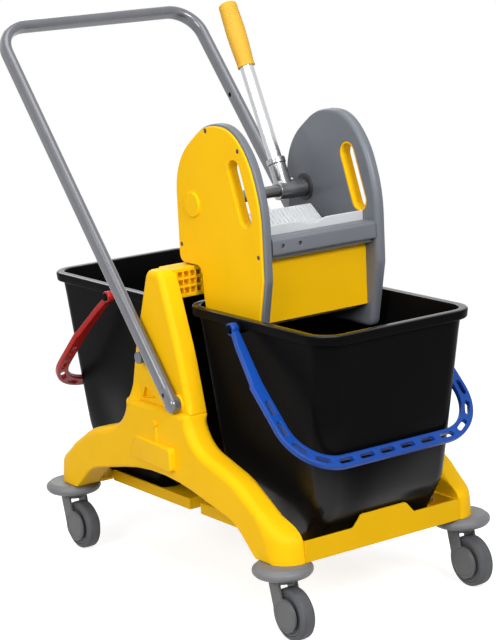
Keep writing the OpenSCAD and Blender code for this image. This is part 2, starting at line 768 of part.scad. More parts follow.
module side_plate(side) color(dark_grey) on_side(side) difference() {
    union() {
        upright(plate_in, plate_out) difference() {
            plate_outline();
            plate_outline(bead_w);
        }
        upright(plate_in + web_in, plate_in + web_in + web_t) plate_outline(over);
        translate([shaft_x, 0, shaft_z]) rod(bush_d / 2 + 6, plate_in + web_in, plate_out);
    }
    upright(plate_in - over, plate_out + over) hand_slot(lining + fit_gap);
    translate([shaft_x, 0, shaft_z]) rod(bush_d / 2 + fit_gap, plate_in - over, plate_out + over);
    translate([tie_x, 0, tie_z]) rod(tie_d / 2 + fit_gap, plate_in - over, plate_in + web_in);
    for (p = screw_places) translate([p.x, 0, p.y])
        rod(cover_screw_d / 2 + fit_gap, plate_out - 9, plate_out + over);
}

module cover(side) color(yellow) on_side(side) difference() {
    union() {
        upright(plate_out, cover_out) plate_outline(1.5);
        upright(plate_in + 1, cover_out) hand_slot(lining);
        translate([shaft_x, 0, shaft_z]) rod(bush_d / 2 + 7, plate_out, cover_out + 3);
    }
    upright(plate_in - over, cover_out + over) hand_slot();
    translate([shaft_x, 0, shaft_z]) rod(shaft_d / 2 + 1, plate_out - over, cover_out);
    for (p = screw_places) translate([p.x, 0, p.y]) {
        rod(cover_screw_d / 2 + fit_gap, plate_out - over, cover_out + over);
        rod(cover_screw_d + fit_gap, cover_out - 1.5, cover_out + over);
    }
}

module cover_screws() color(steel) for (s = [-1, 1], p = screw_places) on_side(s) translate([p.x, 0, p.y]) {
    rod(cover_screw_d / 2, plate_out - 9 + run_gap, cover_out - 1.5);
    rod(cover_screw_d, cover_out - 1.5, cover_out - 0.3);
}

bar_front = wring_front - 2;
bar_holes = [-74, -44];

module front_bar() color(dark_grey) difference() {
    upright(-plate_in, plate_in) polygon(rounded([
        [bar_front - bar_w, bar_z, 1], [bar_front, bar_z, 4], [bar_front, bar_z + bar_h - 4, 3],
        [bar_front - 5, bar_z + bar_h, 3], [bar_front - bar_w, bar_z + bar_h - 1, 3]
    ]));
    for (y = bar_holes) translate([bar_front - 6, y, bar_z + bar_h / 2]) rotate([0, 90, 0])
        cylinder(d = 6, h = 6 + over);
}

panel_x = bar_front - bar_w + 1;

module front_panel() color(yellow) {
    translate([panel_x, -plate_in, panel_z]) cube([panel_t, 2 * plate_in, bar_z - panel_z]);
    // Lip that stiffens the lower edge
    translate([panel_x - panel_lip, -plate_in, panel_z]) cube([panel_lip + over, 2 * plate_in, panel_t]);
}

// Trough under the jaw: a floor with a lip behind, and a front wall that stands on the floor
sieve_rear = 52;
sieve_face = bar_front - bar_w - run_gap;
sieve_foot = sieve_face - sieve_lean;
drain_w = 6;
drain_l = 22;
drain_pitch = 18;
drain_rows = [sieve_rear + 24, sieve_rear + 56];
dip_h = 6;

module sieve() color(pale_grey) difference() {
    upright(-plate_in, plate_in) polygon(rounded([
        [sieve_rear, sieve_z, 6], [sieve_foot, sieve_z, 0], [sieve_foot, sieve_z + sieve_t, 0],
        [sieve_rear + sieve_t, sieve_z + sieve_t, 3], [sieve_rear + sieve_t, sieve_z + sieve_lip, 1],
        [sieve_rear, sieve_z + sieve_lip, 1]
    ]));
    for (i = [-4 : 4], x = drain_rows) translate([x, i * drain_pitch - drain_w / 2, sieve_z - over])
        cube([drain_l, drain_w, sieve_t + 2 * over]);
}

// The front wall leans forward to the bar, and its top edge dips in the middle
module sieve_front() color(pale_grey) difference() {
    upright(-plate_in, plate_in) polygon(rounded([
        [sieve_foot, sieve_z + sieve_t, 0], [sieve_face, bar_z, 10], [sieve_face, sieve_top, 1],
        [sieve_face - sieve_t, sieve_top, 1], [sieve_face - sieve_t, bar_z, 10],
        [sieve_foot - sieve_t, sieve_z + sieve_t, 0]
    ]));
    for (i = [-4 : 4]) translate([sieve_foot, i * drain_pitch - drain_w / 2, shelf_z - 2 * drain_l])
        cube([sieve_lean + over, drain_w, 2 * drain_l]);
    translate([sieve_face - sieve_t - over, 0, sieve_top]) rotate([90, 0, 90])
        linear_extrude(sieve_t + 2 * over) polygon([[-29, over], [-8, -dip_h], [8, -dip_h], [29, over]]);
}

module rear_tie_bar() color(dark_grey) translate([tie_x, 0, tie_z])
    rod(tie_d / 2, -plate_in - web_in, plate_in + web_in);

module bush(side) color(black) on_side(side) translate([shaft_x, 0, shaft_z]) difference() {
    union() {
        rod(bush_d / 2, plate_in, plate_out - run_gap);
        rod(bush_flange_d / 2, plate_in + web_in - 4, plate_in + web_in);
    }
    rod(shaft_d / 2 + fit_gap, plate_in + web_in - 4 - over, plate_out);
}

// Lever: everything that turns with the pivot shaft

module on_shaft() translate([shaft_x, 0, shaft_z]) children();
// x runs up the lever from the shaft
module on_lever() on_shaft() translate([0, lever_y, 0]) rotate([0, -90 - lever_lean, 0]) children();
// x runs out along the jaw from the shaft
module on_jaw() on_shaft() rotate([0, jaw_slope, 0]) children();
module lever_rod(r, x0, x1) translate([x0, 0, 0]) rotate([0, 90, 0]) cylinder(r = r, h = x1 - x0);

module pivot_shaft() color(mid_grey) on_shaft() rod(shaft_d / 2, -cover_out + run_gap, cover_out - run_gap);

module lever_hub() color(steel) difference() {
    union() {
        on_shaft() rod(sleeve_r, sleeve_in, sleeve_out);
        on_lever() lever_rod(socket_r, 0, socket_l);
    }
    on_shaft() rod(shaft_d / 2 + fit_gap, 0, plate_out);
    on_lever() lever_rod(lever_d / 2 + fit_gap, tube_in, socket_l + over);
    on_jaw() translate([0, hub_screw_y, 0]) rotate([0, 180, 0])
        lever_rod(3 + fit_gap, 0, sleeve_r + over);
}

module hub_screw() color(steel) on_jaw() translate([0, hub_screw_y, 0]) rotate([0, 180, 0]) {
    lever_rod(3, shaft_d / 2 + fit_gap, sleeve_r + 2);
    lever_rod(5, sleeve_r + 0.4, sleeve_r + 4);
}

module lever_collar() color(steel) on_lever() difference() {
    lever_rod(socket_r + 1.2, socket_l, socket_l + collar_l);
    lever_rod(lever_d / 2 + fit_gap, 0, lever_l);
}

module lever_tube() color(steel) on_lever() difference() {
    lever_rod(lever_d / 2, tube_in + fit_gap, lever_l - 8);
    lever_rod(lever_d / 2 - 2, tube_in - over, lever_l);
}

module lever_grip() color(yellow) on_lever() difference() {
    translate([lever_l - grip_l, 0, 0]) rotate([0, 90, 0]) rotate_extrude() polygon(rounded([
        [0, 0, 0], [grip_d / 2, 0, 2], [grip_d / 2 + 0.8, grip_l * 0.3, 0], [grip_d / 2 - 1, grip_l * 0.75, 30],
        [grip_d / 2 - 1, grip_l, 7], [0, grip_l, 0]
    ]));
    lever_rod(lever_d / 2 + fit_gap, 0, lever_l - 8 + fit_gap);
}

module press_jaw() color(pale_grey) difference() {
    union() {
        on_jaw() translate([jaw_in, -jaw_half, -jaw_t / 2]) cube([jaw_l - jaw_in, 2 * jaw_half, jaw_t]);
        // Ribs along the face that meets the mop
        for (i = [0 : jaw_ribs - 1]) on_jaw()
            translate([jaw_in + 3, -jaw_half + (i + 0.5) * 2 * jaw_half / jaw_ribs - 1.5, jaw_t / 2 - over])
                cube([jaw_l - jaw_in - 6, 3, 2.5 + over]);
        // Clamping arms around the shaft
        for (y = [-jaw_arm_y, 0]) on_jaw() {
            rod(shaft_d / 2 + 5, y - jaw_arm_w / 2, y + jaw_arm_w / 2);
            translate([0, y - jaw_arm_w / 2, -jaw_t / 2]) cube([jaw_in + over, jaw_arm_w, jaw_t]);
        }
    }
    on_shaft() rod(shaft_d / 2 + fit_gap, -plate_out, plate_out);
}

placed() base_tray();
for (s = SIDES) placed() {
    side_frame(s[1]);
    tower(s[1]);
    knuckle(s[1]);
    side_plate(s[1]);
    cover(s[1]);
    bush(s[1]);
}
placed() frame_screws();
placed() pivot_pins();
placed() handle_stops();
placed() handle_tube();
placed() knuckle_screws();
placed() bucket(1);  // front_bucket
placed() bucket(-1);  // rear_bucket
placed() bail(1, blue);  // front_bail
placed() bail(-1, red);  // rear_bail
placed() cover_screws();
placed() front_bar();
placed() front_panel();
placed() sieve();
placed() sieve_front();
placed() rear_tie_bar();
placed() pivot_shaft();
placed() lever_hub();
placed() lever_collar();
placed() lever_tube();
placed() lever_grip();
placed() press_jaw();
placed() hub_screw();
for (c = CORNERS, p = CASTER_PIECES)
    placed() caster_piece(p, c);
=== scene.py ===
"""Looks of a double mop bucket trolley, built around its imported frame.

The frame's nodes carry the sizes. The moulded pieces are worked out again here with soft edges as numpy
surfaces, the remaining nodes are copied with their edges broken, and every piece gets a finish made of nodes.
Shapes are worked out in millimetres in the frame's axes, +X front, +Y left and +Z up, and become metres when they
are put into the scene. Finishes, lights and the camera are in metres.
"""

import json
import math

import bmesh
import bpy
import numpy as np
from bpy.props import FloatProperty, FloatVectorProperty, IntProperty, PointerProperty
from mathutils import Matrix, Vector
from mathutils.geometry import tessellate_polygon


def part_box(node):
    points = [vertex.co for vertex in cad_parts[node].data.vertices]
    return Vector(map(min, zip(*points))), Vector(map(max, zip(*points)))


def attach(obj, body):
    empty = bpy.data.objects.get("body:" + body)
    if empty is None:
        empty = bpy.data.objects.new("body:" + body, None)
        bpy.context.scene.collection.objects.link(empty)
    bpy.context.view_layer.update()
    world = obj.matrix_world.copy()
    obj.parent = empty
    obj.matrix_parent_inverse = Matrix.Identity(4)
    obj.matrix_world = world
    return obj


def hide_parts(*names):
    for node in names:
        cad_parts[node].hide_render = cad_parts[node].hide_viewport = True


bl_info = {
    "name": "Double Mop Bucket Trolley",
    "version": (1, 0, 0),
    "blender": (4, 5, 0),
    "location": "3D View > Sidebar > Trolley",
    "description": "Builds the moulded pieces, finishes and studio of a double mop bucket trolley",
    "category": "Object",
}

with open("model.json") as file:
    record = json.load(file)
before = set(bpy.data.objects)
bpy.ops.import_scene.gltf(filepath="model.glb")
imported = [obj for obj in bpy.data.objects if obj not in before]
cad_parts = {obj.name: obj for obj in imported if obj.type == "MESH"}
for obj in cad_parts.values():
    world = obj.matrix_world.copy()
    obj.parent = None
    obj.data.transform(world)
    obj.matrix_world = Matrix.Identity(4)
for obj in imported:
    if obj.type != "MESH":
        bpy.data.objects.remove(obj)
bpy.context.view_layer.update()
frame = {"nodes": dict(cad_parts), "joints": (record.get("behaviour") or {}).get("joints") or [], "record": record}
BODY_OF = {node: body for body, nodes in frame["record"]["behaviour"]["bodies"].items() for node in nodes}
JOINT = {joint["name"]: joint for joint in frame["joints"]}
SIDES = {"right": -1, "left": 1}
ENDS = {"front": 1, "rear": -1}
CORNERS = [f"{end}_{side}" for end in ENDS for side in SIDES]
MM = 0.001
X, Y, Z = np.eye(3)
WHITE = (1, 1, 1, 1)


def box(node):
    """Lowest and highest corner of a node as one array, in millimetres."""
    return np.array([list(corner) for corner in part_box(node)]) / MM


def pivot(joint):
    """Place of a joint's axis on the middle plane, y = 0, in millimetres."""
    x, _, z = JOINT[joint]["pos_m"]
    return np.array([x, 0, z]) / MM


# Heights and middles, in millimetres, that the moulded pieces share with the frame
FRONT_BUCKET, REAR_BUCKET = box("front_bucket"), box("rear_bucket")
MIDDLE_X = (FRONT_BUCKET[1, 0] + REAR_BUCKET[0, 0]) / 2
FOOT_Z, SEAM_Z = box("side_frame_left")[:, 2]
SHELF_Z = box("tower_left")[1, 2]
FLOOR_Z, RIM_Z = FRONT_BUCKET[:, 2]
FRAME_END = box("side_frame_left")[1, 0] - MIDDLE_X
TOWER_HALF = box("tower_left")[1, 0] - MIDDLE_X
TRAY_SIDE = box("base_tray")[1, 1]
PLATE_REAR, PLATE_FRONT = box("side_plate_left")[:, 0] - MIDDLE_X
PLATE_IN, PLATE_OUT = box("side_plate_left")[:, 1]
PLATE_LOW, PLATE_TOP = box("side_plate_left")[:, 2]
SHAFT = box("pivot_shaft").mean(0)[[0, 2]] - (MIDDLE_X, 0)

# Sizes that several pieces share; the towers' shelf and the plates' step lie a little lower than the frame's
STEP_Z = SHELF_Z - 7
FRAME_THICK, TOWER_THICK, COVER_THICK = 40, 30, 3
BUCKET_LIP, KNEE_HEIGHT, WALL_FLARE = 10, 65, 36
ROLL_FROM, ROLL_OVER = 60, 70
LEVER_LEAN = math.radians(25)
OUTLINE_STEP = 4
PUT_SHARP, EASED_SHARP = math.radians(42), math.radians(35)


# Sizes and colours that a user would change


def length(name, description, default, low, high):
    """A length in metres whose values are given in millimetres."""
    return FloatProperty(name=name, description=description, default=default * MM, min=low * MM, max=high * MM,
                         unit="LENGTH")


class TrolleySizes(bpy.types.PropertyGroup):
    frame_soft: length("Frame edge", "Rounding of the side frames' outer upper edge", 13, 2, 18)
    end_round: length("Frame end", "Rounding of the side frames' ends seen from above", 36, 10, 38)
    tower_soft: length("Tower edge", "Rounding of the towers' outer edge", 9, 1, 12)
    bead_soft: length("Bead edge", "Rounding of the wringer plates' front edge", 7.5, 3, 8.5)
    bail_soft: length("Bail edge", "Rounding of the bails' band", 2.2, 0.5, 4)
    bail_slots: IntProperty(name="Bail slots", description="Slots in each bail's band", default=14, min=8, max=16)
    jacket_ribs: IntProperty(
        name="Grip ribs", description="Fine ribs round the lever's grip", default=9, min=0, max=20)
    grain: length("Mould grain", "Width of the grain in the moulded plastic", 0.9, 0.3, 4)


def colour(name, description, default):
    """A colour that a user picks, in linear values."""
    return FloatVectorProperty(name=name, description=description, default=default, subtype="COLOR", min=0, max=1)


class TrolleyColours(bpy.types.PropertyGroup):
    yellow: colour("Yellow", "Frame, towers, covers and panel", (0.93, 0.52, 0.004))
    black: colour("Black", "Buckets", (0.0036, 0.0035, 0.0036))
    grey: colour("Grey", "Wringer plates, knuckles and bars", (0.135, 0.145, 0.165))
    caster_grey: colour("Caster grey", "Bumpers, forks and hubs", (0.150, 0.152, 0.158))
    tyre_grey: colour("Tyre grey", "Rubber of the tyres", (0.066, 0.068, 0.075))
    pale: colour("Pale grey", "Trough and press jaw", (0.60, 0.61, 0.63))
    blue: colour("Blue", "Front bail", (0.005, 0.056, 0.310))
    red: colour("Red", "Rear bail", (0.380, 0.014, 0.012))
    paint: colour("Handle paint", "Push handle", (0.128, 0.132, 0.148))
    bare_metal: colour("Bare metal", "Lever and its hub", (0.60, 0.61, 0.62))
    grip: colour("Grip yellow", "Sleeve of the lever's grip", (0.72, 0.40, 0.045))
    dark: colour("Dark", "Screws and bushes", (0.030, 0.030, 0.032))
    studio: colour("Studio", "Floor and backdrop", (0.42, 0.42, 0.42))


def sizes():
    """The sizes that are kept with the scene."""
    return bpy.context.scene.trolley_sizes


def chosen(key):
    """One of the lengths that a user would change, in millimetres."""
    return getattr(sizes(), key) / MM


def colours():
    """The colours that are kept with the scene."""
    return bpy.context.scene.trolley_colours


# Shader expressions


class Value:
    """A shader socket that takes part in Python expressions; each operator adds a Math node."""

    def __init__(self, graph, socket):
        self.graph, self.socket = graph, socket

    def _math(self, operation, a, b):
        return self.graph.node("ShaderNodeMath", {"operation": operation}, {0: a, 1: b})

    def __add__(self, other):
        return self._math("ADD", self, other)

    def __sub__(self, other):
        return self._math("SUBTRACT", self, other)

    def __rsub__(self, other):
        return self._math("SUBTRACT", other, self)

    def __mul__(self, other):
        return self._math("MULTIPLY", self, other)

    __radd__, __rmul__ = __add__, __mul__

    def ramp(self, low, high):
        """0 below low, 1 above high, smooth between them."""
        settings = {"clamp": True, "interpolation_type": "SMOOTHSTEP"}
        return self.graph.node("ShaderNodeMapRange", settings, {0: self, 1: low, 2: high, 3: 0.0, 4: 1.0})


class Graph:
    """A node tree that grows by expressions."""

    def __init__(self, tree):
        self.tree = tree

    def node(self, kind, settings, inputs, output=0):
        """Adds a node of a type, with its settings first and then its sockets' values or links."""
        made = self.tree.nodes.new(kind)
        for key, value in settings.items():
            setattr(made, key, value)
        for key, value in inputs.items():
            self.join(made.inputs[key], value)
        return Value(self, made.outputs[output]) if made.outputs else None

    def join(self, socket, value):
        """Links a value to a socket, or sets a plain number or colour on it."""
        if isinstance(value, Value):
            self.tree.links.new(value.socket, socket)
        else:
            socket.default_value = value

    def seen(self):
        """1 for what the camera sees by itself, in a reflection or through a clear piece, else 0."""
        kinds = ("Is Camera Ray", "Is Glossy Ray", "Is Transmission Ray")
        ray, glossy, clear = (self.node("ShaderNodeLightPath", {}, {}, kind) for kind in kinds)
        return (ray + glossy + clear).ramp(0.0, 1.0)


class Finish(Graph):
    """One node material: a Principled surface and the textures that feed it."""

    def __init__(self, name, roughness=0.5, **fixed):
        self.material = bpy.data.materials.new(name)
        self.material.use_nodes = True
        super().__init__(self.material.node_tree)
        self.surface = self.tree.nodes["Principled BSDF"]
        self.feed("Roughness", roughness)
        for socket, value in fixed.items():
            self.feed(socket.replace("_", " "), value)
        self.place = self.node("ShaderNodeTexCoord", {}, {}, "Object")

    def feed(self, socket, value):
        """Gives a value to one of the surface's sockets."""
        self.join(self.surface.inputs[socket], value)

    def stretched(self, scale, turn=(0, 0, 0)):
        """Object coordinates turned and then scaled along their axes."""
        turned = self.node("ShaderNodeMapping", {}, {"Vector": self.place, "Rotation": turn})
        return self.node("ShaderNodeMapping", {}, {"Vector": turned, "Scale": scale})

    def noise(self, scale, detail=3.0, roughness=0.55, vector=None, distortion=0.0):
        """Noise from 0 to 1 over the object's coordinates or another vector."""
        inputs = {"Vector": vector or self.place, "Scale": scale, "Detail": detail,
                  "Roughness": roughness, "Distortion": distortion}
        return self.node("ShaderNodeTexNoise", {"noise_dimensions": "3D"}, inputs)

    def blend(self, factor, low, high):
        """Colour low where factor is 0 and high where it is 1; low may be a value."""
        low = low if isinstance(low, Value) else (*low, 1)
        return self.node("ShaderNodeMix", {"data_type": "RGBA"}, {0: factor, 6: low, 7: (*high, 1)}, 2)

    def mottled(self, cloud, base, dark, light, low=0.3, high=0.7):
        """A base colour that runs from dark to light with a cloud of noise."""
        return self.blend(cloud.ramp(low, high), tint(base, dark), tint(base, light))

    def done(self, shade, gloss):
        """Gives the surface its colour and roughness, and the material to the caller."""
        self.feed("Base Color", shade)
        self.feed("Roughness", gloss)
        return self.material

    def bump(self, height, strength, distance):
        """Lets a height turn the surface's normals."""
        normal = self.node("ShaderNodeBump", {}, {"Height": height, "Strength": strength, "Distance": distance})
        self.feed("Normal", normal)


def tint(base, gain):
    """A colour with each of its parts multiplied by a gain, up to 1."""
    return tuple(min(1.0, c * gain) for c in base)


def plastic(finish, base, roughness, mottle, grain_depth):
    """Colour and roughness of moulded plastic, with faint flow mottling, uneven gloss and a fine grain."""
    flow = finish.noise(7.0, 4.0, 0.55, finish.stretched((1, 1, 0.6)), 0.4)
    grain = finish.noise(1 / sizes().grain, 2.0, 0.6)
    uneven = finish.noise(22.0, 5.0, 0.62)
    finish.bump(grain * 0.5 + uneven * 0.5, grain_depth, 0.35 * MM)
    shade = finish.mottled(flow, base, 1 - mottle, 1 + mottle, 0.25, 0.75)
    return shade, (uneven - 0.5) * 0.16 + roughness


def moulded(name, base, roughness, mottle=0.06, grain_depth=0.10, scuff=0.0, dust=(0.5, 0.5, 0.5), **fixed):
    """Injection-moulded plastic, with thin scuffs if asked for."""
    finish = Finish(name, roughness, **fixed)
    shade, gloss = plastic(finish, base, roughness, mottle, grain_depth)
    if scuff:
        rubs = finish.noise(40.0, 6.0, 0.7, finish.stretched((1.0, 1.0, 5.0), (0.5, 0.3, 0.2)), 1.2)
        marks = rubs.ramp(0.60, 0.78) * scuff
        shade, gloss = finish.blend(marks, shade, dust), gloss + marks * 0.35
    return finish.done(shade, gloss)


def worn_black(name, base, roughness):
    """Black bucket plastic: matt walls, a rim rubbed bright and, low down, patches that keep their gloss."""
    finish = Finish(name, roughness, Specular_IOR_Level=0.02, Coat_Roughness=0.16)
    shade, gloss = plastic(finish, base, roughness, 0.2, 0.10)
    height = finish.node("ShaderNodeSeparateXYZ", {}, {0: finish.place}, "Z")
    rim = height.ramp((RIM_Z - 1.8) * MM, (RIM_Z - 0.4) * MM)
    low = 1.0 - height.ramp((FLOOR_Z + 50) * MM, (FLOOR_Z + 190) * MM)
    patch = finish.noise(5.0, 1.0, 0.5).ramp(0.40, 0.62)
    finish.feed("Coat Weight", low * patch * 0.55 + rim * 0.8)
    return finish.done(shade, gloss)


def coated(name, base, roughness, metallic=0.0):
    """Powder coat: an even colour with fine orange peel."""
    finish = Finish(name, roughness, Metallic=metallic, Coat_Weight=0.6, Coat_Roughness=0.14)
    peel = finish.noise(420.0, 2.0, 0.5)
    wear = finish.noise(16.0, 5.0, 0.65)
    finish.bump(peel, 0.03, 0.3 * MM)
    return finish.done(finish.mottled(wear, base, 0.94, 1.07), (wear - 0.5) * 0.12 + roughness)


def drawn(name, base, roughness, turn=(0, 0, 0)):
    """Drawn metal: fine lines along the tube, with cloudy handling marks."""
    finish = Finish(name, roughness, Metallic=1.0)
    lines = finish.noise(1.0, 3.0, 0.6, finish.stretched((900, 900, 14), turn))
    cloud = finish.noise(28.0, 4.0, 0.6)
    finish.bump(lines, 0.02, 0.2 * MM)
    gloss = (lines - 0.5) * 0.18 + (cloud - 0.5) * 0.14 + roughness
    return finish.done(finish.mottled(lines, base, 0.94, 1.05), gloss)


def cast(name, base, roughness):
    """Cast metal with a pebbled skin."""
    finish = Finish(name, roughness, Metallic=1.0)
    pebble = finish.noise(380.0, 3.0, 0.6)
    cloud = finish.noise(40.0, 4.0, 0.6)
    finish.bump(pebble, 0.16, 0.4 * MM)
    return finish.done(finish.mottled(cloud, base, 0.82, 1.06), (cloud - 0.5) * 0.2 + roughness)


def rubber(name, base):
    """Tyre rubber: matt, with dust worked into its tread."""
    roughness = 0.62
    finish = Finish(name, roughness)
    speck = finish.noise(260.0, 4.0, 0.7)
    worn = finish.noise(30.0, 5.0, 0.65)
    finish.bump(speck, 0.14, 0.4 * MM)
    return finish.done(finish.mottled(worn, base, 0.86, 1.22, 0.3, 0.72), (worn - 0.5) * 0.2 + roughness)


FINISHES = {}


def make_finishes():
    """Every finish of the trolley by its plain name."""
    tone = colours()
    FINISHES.update({
        "yellow": moulded("yellow_moulding", tone.yellow, 0.42, 0.035, 0.06, 0.10, (0.76, 0.44, 0.01),
                          Specular_IOR_Level=0.07),
        # The tray is the frame's yellow moulding darkened, its scuffs too: painted shade that tones down its brightly
        # lit front walls.
        "tray": moulded("tray_yellow_painted_shade", tint(tone.yellow, 0.84), 0.44, 0.035, 0.06, 0.10, (0.64, 0.37, 0.01),
                        Specular_IOR_Level=0.07),
        "grip": moulded("grip_moulding", tone.grip, 0.48, 0.03, 0.02, Specular_IOR_Level=0.1),
        "black": worn_black("black_moulding", tone.black, 0.34),
        "grey": moulded("grey_moulding", tone.grey, 0.42, 0.06, 0.14, 0.20, (0.24, 0.25, 0.27)),
        "caster_grey": moulded("caster_moulding", tone.caster_grey, 0.46, 0.08, 0.14, 0.30, (0.25, 0.25, 0.26)),
        "fork_grey": moulded("fork_moulding", tint(tone.caster_grey, 0.58), 0.46, 0.08, 0.14, 0.30,
                             (0.14, 0.14, 0.15)),
        "pale": moulded("pale_moulding", tone.pale, 0.42, 0.04, 0.10, 0.12, (0.42, 0.42, 0.43)),
        "blue": moulded("blue_moulding", tone.blue, 0.34, 0.07, 0.08, 0.10, (0.06, 0.17, 0.60),
                        Specular_IOR_Level=0.25),
        "red": moulded("red_moulding", tone.red, 0.34, 0.08, 0.08, 0.10, (0.50, 0.07, 0.06),
                       Specular_IOR_Level=0.25),
        "paint": coated("handle_paint", tone.paint, 0.30, 0.35),
        "lever": drawn("lever_tube_metal", tone.bare_metal, 0.30, (0, -LEVER_LEAN, 0)),
        "cast": cast("cast_hub_metal", tint(tone.bare_metal, 0.76), 0.30),
        "shaft": drawn("shaft_metal", tint(tone.bare_metal, 0.50), 0.32, (math.pi / 2, 0, 0)),
        "zinc": cast("zinc_plate", tint(tone.bare_metal, 0.8), 0.34),
        # The dark finish is the bushes' own colour; on the cover and knuckle screws it is painted shade that stands
        # for the dark holes they sit in.
        "dark": moulded("dark_moulding", tone.dark, 0.5, 0.15, 0.12),
        "tyre": rubber("tyre_rubber", tone.tyre_grey),
    })


# Outlines and surfaces


def rounded(points, arc_step=6.0):
    """Closed outline through points (x, y, corner radius): each corner becomes the arc tangent to both edges."""
    count = len(points)
    flat = np.array([p[:2] for p in points], float)
    outline = []
    for i, (_, _, radius) in enumerate(points):
        before, here, after = flat[i - 1], flat[i], flat[(i + 1) % count]
        if radius <= 0:
            outline.append(here[None])
            continue
        u, v = before - here, after - here
        u_length, v_length = np.linalg.norm(u), np.linalg.norm(v)
        u, v = u / u_length, v / v_length
        half = math.acos(np.clip(u @ v, -1, 1)) / 2
        reach = min(radius / math.tan(half), 0.95 * min(u_length, v_length))
        size = reach * math.tan(half)
        centre = here + (u + v) / np.linalg.norm(u + v) * size / math.sin(half)
        start, end = here + u * reach - centre, here + v * reach - centre
        turn = (math.pi - 2 * half) * np.sign(start[0] * end[1] - start[1] * end[0])
        angle = np.linspace(0, turn, max(3, int(abs(math.degrees(turn)) / arc_step) + 2))
        c, s = np.cos(angle), np.sin(angle)
        outline.append(centre + np.stack([start[0] * c - start[1] * s, start[0] * s + start[1] * c], 1))
    return np.concatenate(outline)


def rectangle(x0, y0, x1, y1, radius):
    """Outline of a rectangle with rounded corners."""
    return rounded([(x0, y0, radius), (x1, y0, radius), (x1, y1, radius), (x0, y1, radius)])


def both_ways(points):
    """Points for positive x followed by their mirror images in the order that closes the outline."""
    return list(points) + [(-x, y, r) for x, y, r in reversed(points)]


def fade(value, start, width):
    """0 up to the start, rising straight to 1 over a width."""
    return np.clip((value - start) / width, 0, 1)


def even(outline, step=OUTLINE_STEP):
    """The same closed outline, anticlockwise, with points about one step apart by length along it."""
    closed = np.vstack([outline, outline[:1]])
    length = np.concatenate([[0], np.cumsum(np.linalg.norm(np.diff(closed, axis=0), axis=1))])
    at = np.linspace(0, length[-1], max(8, int(length[-1] / step)), endpoint=False)
    return anticlockwise(np.stack([np.interp(at, length, closed[:, k]) for k in range(2)], 1))


def slot_outline(centre, length, radius, angle, points=14):
    """Slot with round ends: two half circles whose centres are a length apart along an angle."""
    a = np.concatenate([np.linspace(-np.pi / 2, np.pi / 2, points), np.linspace(np.pi / 2, 1.5 * np.pi, points)])
    shift = np.repeat([length / 2, -length / 2], points)
    x, y = radius * np.cos(a) + shift, radius * np.sin(a)
    c, s = math.cos(angle), math.sin(angle)
    return np.stack([centre[0] + x * c - y * s, centre[1] + x * s + y * c], 1)


def circle(centre, radius, points=32):
    """Circle, as a slot without length."""
    return slot_outline(centre, 0, radius, 0, points // 2)


def anticlockwise(loop):
    """A loop in anticlockwise order, without points that repeat the one before."""
    loop = np.asarray(loop, float)
    keep = np.linalg.norm(loop - np.roll(loop, 1, 0), axis=1) > 1e-4
    loop = loop[keep]
    x, y = loop.T
    return loop if np.sum(x * np.roll(y, -1) - np.roll(x, -1) * y) > 0 else loop[::-1]


def outward(loop):
    """Mitred outward direction at each point of an anticlockwise loop, so that insets keep their distance."""
    edge = np.roll(loop, -1, 0) - loop
    edge /= np.linalg.norm(edge, axis=1, keepdims=True)
    normal = np.stack([edge[:, 1], -edge[:, 0]], 1)
    before = np.roll(normal, 1, 0)
    return (normal + before) / np.maximum(1 + np.sum(normal * before, 1, keepdims=True), 0.35)


def inset(loop, by):
    """The loop drawn in by a distance, without the points that end up nearer to it than that."""
    loop = anticlockwise(loop)
    inner = loop - outward(loop) * by
    gap = np.linalg.norm(inner[:, None] - loop[None], axis=2).min(1)
    return inner[gap > 0.98 * by]


def grid_faces(rows, columns, wrap_columns=True, wrap_rows=False):
    """Quads of a grid of points numbered row by row."""
    r = np.arange(rows if wrap_rows else rows - 1)[:, None]
    c = np.arange(columns if wrap_columns else columns - 1)[None]
    r2, c2 = (r + 1) % rows, (c + 1) % columns
    return np.stack([r * columns + c, r * columns + c2, r2 * columns + c2, r2 * columns + c], -1).reshape(-1, 4)


def cap(loops, first):
    """Triangles that fill a flat outline with holes; first gives each loop's first point number."""
    number = np.concatenate([start + np.arange(len(loop)) for start, loop in zip(first, loops)])
    flat = [np.pad(loop, ((0, 0), (0, 1))).tolist() for loop in loops]
    return number[np.array(tessellate_polygon(flat))]


